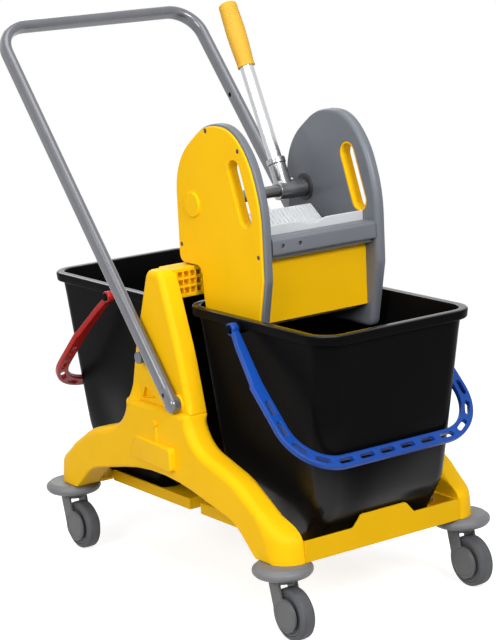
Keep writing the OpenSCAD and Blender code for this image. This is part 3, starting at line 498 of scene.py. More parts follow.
def slab(outline, low, high, soft=(1, 1), holes=(), pockets=(), hole_soft=0.6, steps=6, between=0):
    """Slab between two levels with quarter-round edges.

    At turn a of an edge the outline is drawn in by soft (1 - sin a) at a depth of soft (1 - cos a); soft may
    vary from point to point, and rings between the edges let the wall bend. Holes go through, pockets
    (outline, depth) are let into the high side. A narrow collar beside each edge keeps its shading flat.
    """
    collar = 0.5
    turn = np.linspace(0, np.pi / 2, steps + 1)[:, None]
    part = np.linspace(0, 1, between + 2)[1:-1, None]
    points, faces, lows, highs, count = [], [], [], [], 0

    def add(rings, levels):
        nonlocal count
        rows, columns = levels.shape
        points.append(np.dstack([rings, levels]).reshape(-1, 3))
        faces.extend((grid_faces(rows, columns) + count).tolist())
        first, count = count, count + rows * columns
        return first, first + (rows - 1) * columns

    for number, loop in enumerate((outline, *holes)):
        loop = anticlockwise(loop)
        way = outward(loop) * (1 if number == 0 else -1)
        low_soft, high_soft = (np.broadcast_to(s if number == 0 else hole_soft, len(loop))[None] for s in soft)
        draw = np.vstack([low_soft + collar, low_soft * (1 - np.sin(turn)), part * 0 * low_soft,
                          high_soft * (1 - np.sin(turn[::-1])), high_soft + collar])
        level = np.vstack([low_soft * 0 + low, low + low_soft * (1 - np.cos(turn)),
                           (low + low_soft) * (1 - part) + (high - high_soft) * part,
                           high - high_soft * (1 - np.cos(turn[::-1])), high_soft * 0 + high])
        rings = loop[None] - draw[..., None] * way[None]
        start, end = add(rings, level)
        lows.append((rings[0], start))
        highs.append((rings[-1], end))
    for loop, depth in pockets:
        loop = anticlockwise(loop)
        way = -outward(loop)
        one = np.ones((1, len(loop)))
        draw = np.vstack([one * (hole_soft + collar), hole_soft * (1 - np.sin(turn)) * one, one * 0.0,
                          -one * hole_soft])
        level = np.vstack([one * high, high - hole_soft * (1 - np.cos(turn)) * one,
                           one * (high - depth + hole_soft), one * (high - depth)])
        rings = loop[None] - draw[..., None] * way[None]
        start, end = add(rings, level)
        highs.append((rings[0], start))
        faces.extend(cap([rings[-1]], [end]).tolist())
    for group in (lows, highs):
        faces.extend(cap([loop for loop, _ in group], [start for _, start in group]).tolist())
    return np.concatenate(points), faces


def revolve(profile, around=48):
    """Surface of a profile (radius, level) turned about its level axis; ends on the axis close to poles."""
    profile = np.asarray(profile, float)
    angle = np.linspace(0, 2 * np.pi, around, endpoint=False)[:, None]
    points = np.stack([profile[:, 0] * np.cos(angle), profile[:, 0] * np.sin(angle),
                       np.broadcast_to(profile[:, 1], (around, len(profile)))], -1)
    closed = np.allclose(profile[0], profile[-1])
    if closed:
        points = points[:, :-1]
    faces = grid_faces(around, points.shape[1], wrap_columns=closed, wrap_rows=True)
    return points.reshape(-1, 3), faces.tolist()


def joined(*shapes):
    """Several closed surfaces as one set of points and faces."""
    points, faces, count = [], [], 0
    for p, f in shapes:
        points.append(p)
        faces += [[i + count for i in face] for face in f]
        count += len(p)
    return np.concatenate(points), faces


def loft(sections):
    """Closed surface through loops of equally many points, with the first and last loop filled."""
    rows, columns = sections.shape[:2]
    faces = grid_faces(rows, columns).tolist()
    faces += [list(range(columns)), list(range((rows - 1) * columns, rows * columns))]
    return sections.reshape(-1, 3), faces


def moved(shape, across, along, up, at=(0, 0, 0)):
    """A surface whose own x, y and z are laid along three directions from a place."""
    points, faces = shape
    return points @ np.array([across, along, up], float) + np.asarray(at, float), faces


def upright(shape, side=1):
    """A slab drawn in X and Z, given its thickness along Y on one side, from the middle of the chassis."""
    return moved(shape, X, Z, side * Y, (MIDDLE_X, 0, 0))


def surface(name, shape):
    """Mesh of a shape in metres, with its points merged and its faces outward."""
    points, faces = shape
    mesh = bpy.data.meshes.new(name)
    mesh.from_pydata((points * MM).tolist(), [], faces)
    work = bmesh.new()
    work.from_mesh(mesh)
    bmesh.ops.remove_doubles(work, verts=work.verts, dist=2e-6)
    bmesh.ops.dissolve_degenerate(work, edges=work.edges, dist=1e-7)
    bmesh.ops.recalc_face_normals(work, faces=work.faces)
    work.to_mesh(mesh)
    work.free()
    return mesh


def settle(name, mesh, finish, node, sharp):
    """Makes a mesh the piece that stands for a node: it moves with the node's body and the node is hidden."""
    mesh.shade_smooth()
    mesh.set_sharp_from_angle(angle=sharp)
    mesh.materials.clear()
    mesh.materials.append(FINISHES[finish])
    piece = bpy.data.objects.new(name, mesh)
    bpy.context.scene.collection.objects.link(piece)
    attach(piece, BODY_OF[node])
    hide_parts(node)
    return piece


def put(node, shape, finish, kind="moulding"):
    """Puts a shape into the scene as the piece of a node."""
    name = f"{node}_{kind}"
    settle(name, surface(name, shape), finish, node, PUT_SHARP)


def eased(node, finish, width=0.8, segments=2, extra=None, clamp=True, split=False):
    """Puts in a merged copy of a node with its edges broken by a small bevel, and with an extra shape if given.

    The clamp is off where short facets of a fillet would keep the bevel from showing at all. A split piece has its
    hollow faces cut into convex ones first.
    """
    mesh = frame["nodes"][node].data.copy()
    if "custom_normal" in mesh.attributes:
        mesh.attributes.remove(mesh.attributes["custom_normal"])
    work = bmesh.new()
    work.from_mesh(mesh)
    bmesh.ops.remove_doubles(work, verts=work.verts, dist=5e-6)
    bmesh.ops.dissolve_limit(work, angle_limit=math.radians(0.6), verts=work.verts, edges=work.edges)
    if split:
        bmesh.ops.connect_verts_concave(work, faces=work.faces)
    if extra:
        added = surface(f"{node}_extra", extra)
        work.from_mesh(added)
        bpy.data.meshes.remove(added)
    work.to_mesh(mesh)
    work.free()
    piece = settle(f"{node}_eased", mesh, finish, node, EASED_SHARP)
    if width:
        bevel = piece.modifiers.new("edge", "BEVEL")
        bevel.width, bevel.segments = width * MM, segments
        bevel.limit_method, bevel.angle_limit = "ANGLE", EASED_SHARP
        bevel.use_clamp_overlap = clamp
        bevel.harden_normals = True


# Pieces


def round_ends(shape, start, radius, reach=60):
    """Rounds both ends of a frame seen from above.

    Past the start the end stands back by radius - sqrt(radius^2 - depth^2), shared out over the reach before it.
    """
    points, faces = shape
    depth = np.clip(points[:, 2] - start, 0, radius)
    back = radius - np.sqrt(radius ** 2 - depth ** 2)
    last = np.clip(np.abs(points[:, 0]) - (FRAME_END - reach), 0, None)
    points[:, 0] -= np.sign(points[:, 0]) * last * back / reach
    return points, faces


def side_frame_shape(side):
    """Arched frame: its outline in X and Z, with a broad quarter-round on the outer upper edge.

    The rounding differs along the outline: the wide one is on the upper edge, and it narrows at the feet, under
    the arch and at the seam with the tower. The wedge stands out by a share that rises evenly towards its front.
    """
    foot, face = FOOT_Z, TRAY_SIDE + FRAME_THICK
    half = [(FRAME_END, foot, 0), (FRAME_END - 3, foot + 37, 22), (192, foot + 103, 110),
            (TOWER_HALF + 14, foot + 132, 60), (TOWER_HALF, SEAM_Z, 4)]
    arch = [(-237, foot, 6), (-190, foot + 41, 80), (0, foot + 84, 420), (190, foot + 41, 80), (237, foot, 6)]
    outline = even(rounded(both_ways(half) + arch))
    x, z = np.abs(outline[:, 0]), outline[:, 1]
    top = np.interp(x, [0, 93, 192, 299], [SEAM_Z, foot + 128, foot + 96, foot + 20])
    under = np.interp(x, [0, 190, 237], [foot + 75, foot + 44, foot])
    upper = fade(z, (top + under) / 2 - 2, 4)
    near_seam, near_end = fade(z, SEAM_Z - 12, 10), fade(x, 258, 22)
    arch_soft, foot_soft, seam_soft, inner_soft = 4, 2.5, 9, 1.5
    outer = arch_soft + upper * (chosen("frame_soft") - arch_soft)
    outer = foot_soft + (outer - foot_soft) * fade(z, foot, 26)
    outer = outer * (1 - near_seam) + near_seam * seam_soft
    inner = inner_soft + upper * (1 - near_end) * (1 - near_seam) * 9.5
    body = slab(outline, TRAY_SIDE, face, (inner, outer), steps=9, between=10)
    body = round_ends(body, face - chosen("end_round"), chosen("end_round"))
    rear, front, base, peak, least, sunk = -76, 50, foot + 85, foot + 121, 0.15, 1.2
    corners = [(rear, base, 4), (front, base, 7), (front, peak, 7), (rear + 22, peak, 10)]
    wedge = slab(even(rounded(corners), 3), -8, 10, (0.5, 3.5))
    along, proud = wedge[0][:, 0], wedge[0][:, 2]
    rise = fade(along, rear, front - rear)
    raised = proud * (least + (1 - least) * rise) - sunk * (1 - rise)
    wedge[0][:, 2] = face + np.where(proud > 0, raised, proud)
    rib = slab(slot_outline((3, foot + 135), 28, 2.5, math.pi / 2), face - 3, face + 2, (0.3, 1.4))
    knob = slab(circle((3, SEAM_Z - 24), 5.5), face - 3, face + 4, (0.3, 2))
    return upright(joined(body, wedge, rib, knob), side)


def tower_foot(face):
    """Blend of a tower's rear lower corner into its frame, in X, Z and thickness.

    Over the rise t the face runs from the frame's face back to the tower's by (1 - t)^2, and it fades out
    towards the front.
    """
    rise, proud, sunk, front = 42, 10.6, 1.2, -46
    t = np.linspace(-0.2, 1, 14)
    rear = np.interp(t, [-0.2, 0, 1], [4, 5, 18]) - TOWER_HALF
    sections = []
    for f in np.linspace(0, 1, 15):
        swell = 0.5 + 0.5 * math.sin(math.pi / 2 * fade(f, 0, 0.25))
        swell *= math.cos(math.pi / 2 * fade(f, 0.4, 0.6)) ** 2
        y = face - sunk + proud * swell * (1 - fade(t, 0, 1)) ** 2
        skin = np.stack([rear + f * (front - rear), SEAM_Z + rise * t, y], 1)
        back = skin[[-1, 0]] * (1, 1, 0) + (0, 0, face - 4)
        sections.append(np.vstack([skin, back]))
    return loft(np.array(sections))


def tower_shape(side):
    """Tower: a tapered slab with a quarter-round outer edge, its celled shelf and the handle's boss.

    Its outline is straight edges and tangent arcs carried through the thickness, and the rounding of its outer edge
    rises from nearly nothing at the seam. The shelf is a second slab that faces front and rear.
    """
    face, seam_soft = TRAY_SIDE + TOWER_THICK, 0.8
    half = [(TOWER_HALF, SEAM_Z, 0), (TOWER_HALF - 21, SEAM_Z + 85, 260), (18, STEP_Z, 16)]
    outline = even(rounded(both_ways(half)))
    outer = seam_soft + fade(outline[:, 1], SEAM_Z, 10) * (chosen("tower_soft") - seam_soft)
    relief = rounded([(-44, SEAM_Z + 4, 1), (-7, SEAM_Z + 10, 1), (-36, SEAM_Z + 23, 1.5)])
    body = slab(outline, TRAY_SIDE, face, (2 + 0 * outer, outer), pockets=[(relief, 6)], steps=8)
    shelf_low = abs(box("tower_left")[0, 1])
    cells, wide, high, deep = [], 4.4, 4.2, 11
    for row in range(3):
        for column in range(4):
            y, z = shelf_low + 11 + 11 * column, STEP_Z - 10 - 12 * row
            cells.append((rectangle(y - wide, z - high, y + wide, z + high, 0.8), deep))
    half_shelf = slab(rectangle(shelf_low, STEP_Z - 44, TRAY_SIDE + 6, STEP_Z - 0.1, 1.5), -1, 18, (0.2, 1.2),
                      pockets=cells, hole_soft=0.4)
    shelf = joined(*[moved(half_shelf, Z, Y, way * X) for way in (1, -1)])
    x, _, z = pivot("push_handle_fold")
    boss = slab(circle((x - MIDDLE_X, z), 12.6, 48), face - 3, box("knuckle_left")[0, 1] - 0.4, (0.2, 1))
    return upright(joined(body, shelf, boss, tower_foot(face)), side)


def bucket_shape(name):
    """Bucket: rounded rectangles from the floor up the outer wall, over the lip and down inside.

    A ring is four quarter circles of its corner radius about the corners of its half sizes less that radius. The
    bends at the floor and the lip follow 1 - sin and 1 - cos of a quarter turn. The pins are profiles turned about
    the bail's axis.
    """
    (low, high), hinge = box(f"{name}_bucket"), pivot(f"{name}_bail_swing")
    rim_l, rim_w, height = (high[0] - low[0]) / 2, 139, RIM_Z - FLOOR_Z
    skirt, wall, bend, flat = 14, 3.5, 7, 11
    flare_w, taper_l, taper_w, knee_soft = 15, 40, 8, 10
    corner_wide, corner_least, narrowing = 32, 4, 5
    rising = np.concatenate([np.linspace(14, 46, 4), np.linspace(50, 82, 13), np.linspace(100, 280, 7)])

    def ring(level, grow, floor_draw=0.0):
        """Half length, half width and corner radius of the wall at a level above the floor, grown by a distance.

        With v the level less the knee's, the height above the knee is half of v + hypot(v, softness), so the wall
        turns smoothly from its quick taper below the knee to its slow flare above it.
        """
        above = (level - KNEE_HEIGHT + math.hypot(level - KNEE_HEIGHT, knee_soft)) / 2
        short, under = 1 - above / (height - KNEE_HEIGHT), (KNEE_HEIGHT - level + above) / KNEE_HEIGHT
        half_l = rim_l - BUCKET_LIP - WALL_FLARE * short - taper_l * under + grow - floor_draw
        half_w = rim_w - BUCKET_LIP - flare_w * short - taper_w * under + grow - floor_draw
        radius = max(corner_wide - narrowing * (under + short) + grow - floor_draw, corner_least)
        return half_l, half_w, radius, FLOOR_Z + level

    turns = [(1 - math.sin(a), 1 - math.cos(a)) for a in np.linspace(0, np.pi / 2, 7)]
    rings = [
        ring(0, 0, flat),
        *(ring(bend * c, 0, bend * s) for s, c in turns),
        *(ring(level, 0) for level in rising),
        *(ring(height - skirt, grow) for grow in (0.6, 3, 7)),
        *(ring(height - skirt + 2 * c, BUCKET_LIP - 2 * s) for s, c in turns),
        *(ring(height - 4 * s, BUCKET_LIP - 4 * c) for s, c in turns),
        *(ring(height - 2.5 * c, 2.5 * s - wall) for s, c in turns),
        *(ring(level, -wall) for level in rising[::-1]),
        *(ring(wall + bend * s, -wall, bend * c) for s, c in turns),
        ring(wall, -wall, flat),
    ]
    half_l, half_w, radius, level = np.array(rings).T[..., None]
    sample = 15
    corner = np.concatenate([np.linspace(0, np.pi / 2, sample) + k * np.pi / 2 for k in range(4)])
    x = np.repeat([1, -1, -1, 1], sample) * (half_l - radius) + radius * np.cos(corner)
    y = np.repeat([1, 1, -1, -1], sample) * (half_w - radius) + radius * np.sin(corner)
    points = np.dstack([x, y, np.broadcast_to(level, x.shape)])
    rows, columns = x.shape
    faces = grid_faces(rows, columns).tolist()
    for row in (0, rows - 1):
        faces += cap([points[row, :, :2]], [row * columns]).tolist()
    shell = moved((points.reshape(-1, 3), faces), X, Y, Z, ((low[0] + high[0]) / 2, 0, 0))
    boss, neck, head = 8.5, 4.5, 6
    root, seat, stop, tip = 126, 140.6, 153.4, 156
    pin = revolve([(0, root), (boss, root), (boss, seat - 0.8), (boss - 0.8, seat), (neck, seat), (neck, stop),
                   (head, stop), (head, tip - 1), (head - 1, tip), (0, tip)], 32)
    return joined(shell, *(moved(pin, X, Z, side * Y, hinge) for side in SIDES.values()))


def bail_shape(name):
    """Bail: a slotted band in its own plane, u along the arms and v across, then swung down to its rest.

    The slots stand at even steps s along the band's middle line: straight across its end, round a corner by the angle
    that s leaves over the radius, and back along the arm. At rest the band touches the bucket's wall, whose slope and
    distance from the hinge give the angle.
    """
    length, half, thick, radius, pitch = 241, 160, 9, 70, 36
    band, arm_in, arm_out, eye_end, step = 10, 141, 153, 11.5, 95
    slot_length, slot_radius, bore, eye_radius, clear = 18, 3.5, 4.6, 8.5, 0.4
    edge = [(0, arm_out, 0), (eye_end, arm_out, 0), (30, arm_out + 4.5, 30), (step - 2, half + band - 2.6, 0),
            (step + 2, half + band, 0), (length + band, half + band, radius + band)]
    back = [(length - band, half - band, radius - band), (step, half - band, 40), (eye_end, arm_in, 0), (0, arm_in, 0)]
    outline = rounded(edge + [(u, -v, r) for u, v, r in reversed(edge)]
                      + [(u, -v, r) for u, v, r in reversed(back)] + back, 5.0)
    straight, arc = half - radius, radius * math.pi / 2
    slots, holes = sizes().bail_slots, []
    for i in range(slots):
        s = (i - (slots - 1) / 2) * pitch
        far, sign = abs(s), math.copysign(1, s)
        turn = min(max(far - straight, 0), arc) / radius
        rest = max(far - straight - arc, 0)
        spot = (length, s) if far <= straight else (
            length - radius + radius * math.cos(turn) - rest, sign * (straight + radius * math.sin(turn)))
        holes.append(slot_outline(spot, slot_length, slot_radius, math.pi / 2 + sign * turn, 10))
    soft = chosen("bail_soft")
    plate = slab(outline, -thick / 2, thick / 2, (soft, soft), holes, hole_soft=1)
    eye = revolve([(bore, arm_in), (eye_radius - 0.5, arm_in), (eye_radius, arm_in + 0.6), (eye_radius, arm_out - 0.6),
                   (eye_radius - 0.5, arm_out), (bore, arm_out), (bore, arm_in)], 40)
    eyes = [moved(eye, X, Z, side * Y) for side in SIDES.values()]
    hinge, knee, touch = pivot(f"{name}_bail_swing"), FLOOR_Z + KNEE_HEIGHT, length - band
    slope = math.atan(WALL_FLARE / (RIM_Z - knee))
    wall = FRONT_BUCKET[1, 0] - BUCKET_LIP - WALL_FLARE - pivot("front_bail_swing")[0]
    off = wall * math.cos(slope) + (hinge[2] - knee) * math.sin(slope) + clear
    down = slope + math.acos(off / math.hypot(touch, thick / 2)) - math.atan(thick / 2 / touch)
    along = np.array([ENDS[name] * math.cos(down), 0, -math.sin(down)])
    across = np.array([ENDS[name] * math.sin(down), 0, math.cos(down)])
    return moved(joined(plate, *eyes), along, Y, across, hinge)


def plate_outline():
    """Outline of a wringer side plate in X and Z: tangent arcs, down to a little lower than the frame's plate."""
    rear, front, top, low = PLATE_REAR, PLATE_FRONT, PLATE_TOP, PLATE_LOW - 8
    return even(rounded([
        (48, low, 10), (38, SHELF_Z - 46, 20), (36, STEP_Z, 12), (rear, STEP_Z, 14), (rear, top - 59, 92),
        (rear + 81, top, 93), (front - 66.5, top, 66), (front - 25, top - 41.5, 124), (front, top - 110.5, 195),
        (front, SHELF_Z - 10, 40), (front - 21, low, 15)]))


def hand_slot(radius):
    """Hand slot of a side plate or cover, from its upper end down along its lean."""
    length, lean = 69, math.radians(-70)
    middle = np.array([PLATE_FRONT - 63, PLATE_TOP - 62]) + length / 2 * np.array([math.cos(lean), math.sin(lean)])
    return slot_outline(middle, length, radius, lean, 20)


def side_plate_shape(side):
    """Side plate: a smooth inner skin, a bead behind it and a boss, each a slab.

    The rounding of the skin's edge grows evenly along X, so that the edge rolls over towards the front.
    """
    outline, rear_soft = plate_outline(), 2.5
    roll = rear_soft + (chosen("bead_soft") - rear_soft) * fade(outline[:, 0], ROLL_FROM, ROLL_OVER)
    skin = slab(outline, PLATE_IN, PLATE_IN + 9.5, (roll, 0.2 + 0 * roll), [hand_slot(17.6)], steps=8)
    bead = slab(outline, PLATE_IN + 9, PLATE_OUT, (0.2, 2.5), [inset(outline, 18)], hole_soft=1)
    boss = slab(circle(SHAFT, 18, 48), PLATE_IN + 2.2, PLATE_OUT - 0.2)
    return upright(joined(skin, bead, boss), side)


def cover_shape(side):
    """Cover: a thin softened plate with a lined hand slot, a low dome over the shaft and sunk screw holes.

    Its outline is the side plate's, drawn in by a distance that grows along X as the plate's rounding does.
    """
    face, outline, margin = PLATE_OUT + COVER_THICK, plate_outline(), 2.2
    outline = outline - outward(outline) * (margin + 2.6 * fade(outline[:, :1], ROLL_FROM, ROLL_OVER))
    screws = [(PLATE_REAR + 84, PLATE_TOP - 12), (PLATE_FRONT - 52, PLATE_TOP - 34.5),
              (PLATE_FRONT - 13, SHELF_Z + 25), (PLATE_REAR + 9, SHELF_Z + 22),
              (PLATE_FRONT - 45, PLATE_LOW + 12), (70, PLATE_LOW + 12)]
    wells = [(circle(spot, 3.4, 24), 2.2) for spot in screws]
    sheet = slab(outline, PLATE_OUT, face, (0.3, 2), [hand_slot(17.2)], wells, hole_soft=0.5)
    lining = slab(hand_slot(17.5), PLATE_IN + 0.5, face, (0.6, 0.5), [hand_slot(14.2)], hole_soft=1)
    dome = slab(circle(SHAFT, 19, 56), face - 1, face + 3.6, (0.2, 2.6))
    return upright(joined(sheet, lining, dome), side)


def bar_lip():
    """Lip under the front crossbar: a rectangle carried across, set back from the bar's face."""
    (low, high), panel = box("front_bar"), box("front_panel")
    back, face, foot, top = panel[1, 0] + 0.4, high[0] - 10, low[2] - 6, low[2] + 1
    ends = low[1] + 0.2, high[1] - 0.2
    return loft(np.array([[(back, y, foot), (face, y, foot), (face, y, top), (back, y, top)] for y in ends]))


def jaw_shape():
    """Press jaw: a ribbed plate that slopes down from the shaft on two clamping arms.

    Plate, ribs and arms are slabs in the plate's own plane, u away from the shaft and v across, and the clamps are
    profiles turned about the shaft; all of it is turned down by the slope.
    """
    start, end, half, thick, slope = 37, 118, 78, 3, math.radians(36)
    ribs, rib, shaft, arm, clamp = 23, 1.6, 9.05, 6, 14
    shapes = [slab(rectangle(start, -half, end, half, 3), -thick, thick, (1, 1), steps=4)]
    for v in (np.arange(ribs) + 0.5) * 2 * half / ribs - half:
        outline = rectangle(start + 3, v - rib, end - 3, v + rib, 1.2)
        shapes.append(slab(outline, thick - 0.5, thick + 1.7, (0.1, 1), steps=4))
    ring = revolve([(shaft, -arm), (clamp - 1, -arm), (clamp, 1 - arm), (clamp, arm - 1), (clamp - 1, arm),
                    (shaft, arm), (shaft, -arm)], 40)
    for v in (-70, 0):
        outline = rectangle(shaft + 1, v - arm, start + 2, v + arm, 1)
        shapes.append(slab(outline, 0.3 - thick, thick - 0.3, (0.8, 0.8), steps=4))
        shapes.append(moved(ring, X, Z, Y, v * Y))
    along = np.array([math.cos(slope), 0, -math.sin(slope)])
    return moved(joined(*shapes), along, Y, np.cross(along, Y), pivot("lever_press"))


def cheek_rings(corner):
    """Raised ring on both cheeks of a fork: a circle carried round the axle and sunk to a low bead."""
    past, thick, sunk = 1.05, 1.1, 0.35
    axle = box(f"{corner}_axle")
    x, _, z = axle.mean(0)
    radius = 0.84 * (z - box(f"{corner}_fork")[0, 2])
    turn = np.linspace(0, 2 * np.pi, 17)
    ring = revolve(np.stack([radius + thick * np.cos(turn), thick * np.sin(turn) - sunk], 1), 64)
    return joined(*(moved(ring, X, Z, side * Y, (x, y + side * past, z)) for side, y in zip((-1, 1), axle[:, 1])))


def tyre_shape(corner):
    """Tyre: a crowned tread with a groove near each shoulder, turned about the axle.

    At a share w of the half width the tread drops by the crown times w^2, the shoulder times the square of its own
    share, and the groove times a bell curve round its place.
    """
    crown, shoulder, groove = 0.7, 5, 0.9
    low, high = box(f"{corner}_tyre")
    axle, (_, half, radius) = (low + high) / 2, (high - low) / 2
    inner = box(f"{corner}_hub")[1, 2] - axle[2]
    across = np.linspace(-1, 1, 41)
    w = np.abs(across)
    drop = crown * w ** 2 + shoulder * fade(w, 0.66, 0.34) ** 2 + groove * np.exp(-((w - 0.60) / 0.035) ** 2)
    tread = np.stack([radius - drop, across * half * 0.94], 1)
    wall = np.array([(radius - 6.6, half * 0.985), (radius - 7, half * 0.90), (inner + 0.4, half * 0.90)])
    profile = np.vstack([wall[::-1] * (1, -1), tread, wall, wall[-1:] * (1, -1)])
    return moved(revolve(profile, 72), X, Z, -Y, axle)


def grip_shape():
    """Lever grip: a swelling sleeve with a flared foot, fine ribs and a domed end, turned about the lever.

    At a share t of its length the radius is the slim one plus a swell by sin(0.85 pi t^0.9) and a flare by a bell
    curve at the foot, less a cosine wave for the ribs. At the end it closes by sqrt(1 - u^2.2).
    """
    start, end, bore = 196, 300, 10.6
    slim, swell, flare, rib_depth = 12.4, 2.6, 1, 0.45
    along = np.array([-math.sin(LEVER_LEAN), 0, math.cos(LEVER_LEAN)])
    base = pivot("lever_press") + box("lever_grip").mean(0) * Y
    t = np.linspace(0, 1, 160)
    r = slim + swell * np.sin(0.85 * np.pi * t ** 0.9) + flare * np.exp(-(t / 0.035) ** 2)
    r -= rib_depth * (0.5 - 0.5 * np.cos(2 * np.pi * sizes().jacket_ribs * fade(t, 0.62, 0.26)))
    r *= np.sqrt(np.maximum(1 - fade(t, 0.94, 0.06) ** 2.2, 0))
    profile = np.vstack([[(0, start), (bore, start)], np.stack([r, start + t * (end - start)], 1)])
    profile[-1, 0] = 0
    return moved(revolve(profile, 56), np.cross(along, Y), Y, along, base)


# Studio


def floor():
    """A wide floor that stays white to the camera apart from the soft shadow under the trolley."""
    half = 14
    mesh = bpy.data.meshes.new("studio_floor")
    mesh.from_pydata([(-half, -half, 0), (half, -half, 0), (half, half, 0), (-half, half, 0)], [], [(0, 1, 2, 3)])
    finish = Finish("studio_white", 0.9, Specular_IOR_Level=0.1)
    speck = finish.noise(60.0, 3.0, 0.6)
    tone = tuple(colours().studio)
    finish.feed("Base Color", finish.blend(speck, tint(tone, 0.99), tint(tone, 1.01)))
    glow = finish.node("ShaderNodeEmission", {}, {"Color": WHITE, "Strength": 0.78})
    soft = finish.node("ShaderNodeBsdfDiffuse", {}, {"Color": (0.50, 0.50, 0.50, 1)})
    near = finish.node("ShaderNodeAddShader", {}, {0: glow, 1: soft})
    plain = finish.node("ShaderNodeEmission", {}, {"Color": WHITE, "Strength": 1.0})
    away = finish.node("ShaderNodeVectorMath", {"operation": "LENGTH"}, {0: finish.place}, "Value").ramp(0.7, 1.6)
    shown = finish.node("ShaderNodeMixShader", {}, {0: away, 1: near, 2: plain})
    lit = Value(finish, finish.surface.outputs[0])
    mixed = finish.node("ShaderNodeMixShader", {}, {0: finish.seen(), 1: lit, 2: shown})
    finish.join(finish.tree.nodes["Material Output"].inputs["Surface"], mixed)
    mesh.materials.append(finish.material)
    piece = bpy.data.objects.new("studio_floor", mesh)
    bpy.context.scene.collection.objects.link(piece)


def sky():
    """A weak pale light from all around that is plain white where it is seen."""
    world = bpy.context.scene.world or bpy.data.worlds.new("studio_world")
    bpy.context.scene.world = world
    world.use_nodes = True
    graph = Graph(world.node_tree)
    graph.tree.nodes.clear()
    dim = graph.node("ShaderNodeBackground", {}, {"Color": (0.95, 0.97, 1.0, 1), "Strength": 0.34})
    plain = graph.node("ShaderNodeBackground", {}, {"Color": WHITE, "Strength": 1.0})
    mixed = graph.node("ShaderNodeMixShader", {}, {0: graph.seen(), 1: dim, 2: plain})
    graph.node("ShaderNodeOutputWorld", {}, {"Surface": mixed})


def level_axes(back):
    """Directions of something that is held level: across is its view times Z, up is across times its view."""
    across = np.cross(-back, Z)
    across /= np.linalg.norm(across)
    return across, np.cross(across, -back)


def stand(name, data, across, up, back, at):
    """Puts a lamp or camera into the scene by its three directions and its place."""
    piece = bpy.data.objects.new(name, data)
    piece.matrix_world = Matrix([[across[i], up[i], back[i], at[i]] for i in range(3)] + [[0, 0, 0, 1]])
    bpy.context.scene.collection.objects.link(piece)
    return piece


def lights():
    """A broad top light, a key from the camera's left, a fill from its right and a weak light behind."""
    target = np.array([0.02, 0, 0.42])
    for name, at, size, power in (
        ("top_light", (0.3, -0.2, 3.0), 2.2, 32), ("key_light", (1.1, -2.9, 1.9), 1.6, 58),
        ("fill_light", (2.9, -0.55, 2.1), 1.0, 66), ("rear_light", (-2.6, 0.8, 2.2), 1.6, 22),
    ):
        lamp = bpy.data.lights.new(name, "AREA")
        lamp.shape, lamp.size, lamp.energy = "DISK", size, power
        back = np.array(at) - target
        back /= np.linalg.norm(back)
        stand(name, lamp, *level_axes(back), back, at)


def camera():
    """Camera at the photograph's place: yaw and pitch give the way back to it, roll turns the picture."""
    yaw, pitch, roll = (math.radians(a) for a in (54.79, 12.4, -2.75))
    at = (2.5668 + MIDDLE_X * MM, -1.8167, 1.07055)
    focal_pixels, picture_pixels, sensor = 2153.42, 640, 36
    back = np.array([math.sin(yaw) * math.cos(pitch), -math.cos(yaw) * math.cos(pitch), math.sin(pitch)])
    right, up = level_axes(back)
    across = right * math.cos(roll) + up * math.sin(roll)
    upward = up * math.cos(roll) - right * math.sin(roll)
    lens = bpy.data.cameras.new("photo_camera")
    lens.lens, lens.sensor_width, lens.sensor_fit = focal_pixels * sensor / picture_pixels, sensor, "AUTO"
    lens.clip_start, lens.clip_end = 0.05, 60
    bpy.context.scene.camera = stand("photo_camera", lens, across, upward, back, at)


# Steps of the add-on


class TROLLEY_OT_finishes(bpy.types.Operator):
    """Make the trolley's finishes"""
    bl_idname = "trolley.finishes"
    bl_label = "Finishes"

    def execute(self, context):
        make_finishes()
        return {"FINISHED"}


class TROLLEY_OT_chassis(bpy.types.Operator):
    """Build the tray, side frames, towers and their fittings"""
    bl_idname = "trolley.chassis"
    bl_label = "Chassis"

    def execute(self, context):
        # The tray takes the darkened yellow, which is painted shade.
        eased("base_tray", "tray", 0.8, segments=3, clamp=False)
        for name, side in SIDES.items():
            put(f"side_frame_{name}", side_frame_shape(side), "yellow")
            put(f"tower_{name}", tower_shape(side), "yellow")
        eased("frame_screws", "zinc", 0.5)
        eased("pivot_pins", "zinc", 0.6)
        eased("handle_stops", "grey", 0.6)
        return {"FINISHED"}


class TROLLEY_OT_handle(bpy.types.Operator):
    """Build the push handle and its knuckles"""
    bl_idname = "trolley.handle"
    bl_label = "Push handle"

    def execute(self, context):
        eased("handle_tube", "paint", 0)
        for name in SIDES:
            eased(f"knuckle_{name}", "paint", 1.2, segments=3)
        # The screws' dark finish is painted shade for the dark hole they sit in.
        eased("knuckle_screws", "dark", 0.3)
        return {"FINISHED"}


class TROLLEY_OT_buckets(bpy.types.Operator):
    """Build the buckets and their bails"""
    bl_idname = "trolley.buckets"
    bl_label = "Buckets and bails"

    def execute(self, context):
        for name, finish in (("front", "blue"), ("rear", "red")):
            put(f"{name}_bucket", bucket_shape(name), "black")
            put(f"{name}_bail", bail_shape(name), finish)
        return {"FINISHED"}


class TROLLEY_OT_wringer(bpy.types.Operator):
    """Build the wringer's plates, covers, trough and bars"""
    bl_idname = "trolley.wringer"
    bl_label = "Wringer"

    def execute(self, context):
        for name, side in SIDES.items():
            put(f"side_plate_{name}", side_plate_shape(side), "grey")
            put(f"cover_{name}", cover_shape(side), "yellow")
            eased(f"bush_{name}", "dark", 0.8)
        # The screws' dark finish is painted shade for their sunk holes.
        eased("cover_screws", "dark", 0.4)
        eased("front_bar", "grey", 0.8, extra=bar_lip(), clamp=False)
        eased("front_panel", "yellow", 0.8)
        eased("sieve", "pale", 0.6)
        eased("sieve_front", "pale", 0.4, clamp=False)
        eased("rear_tie_bar", "grey", 0.8)
        return {"FINISHED"}


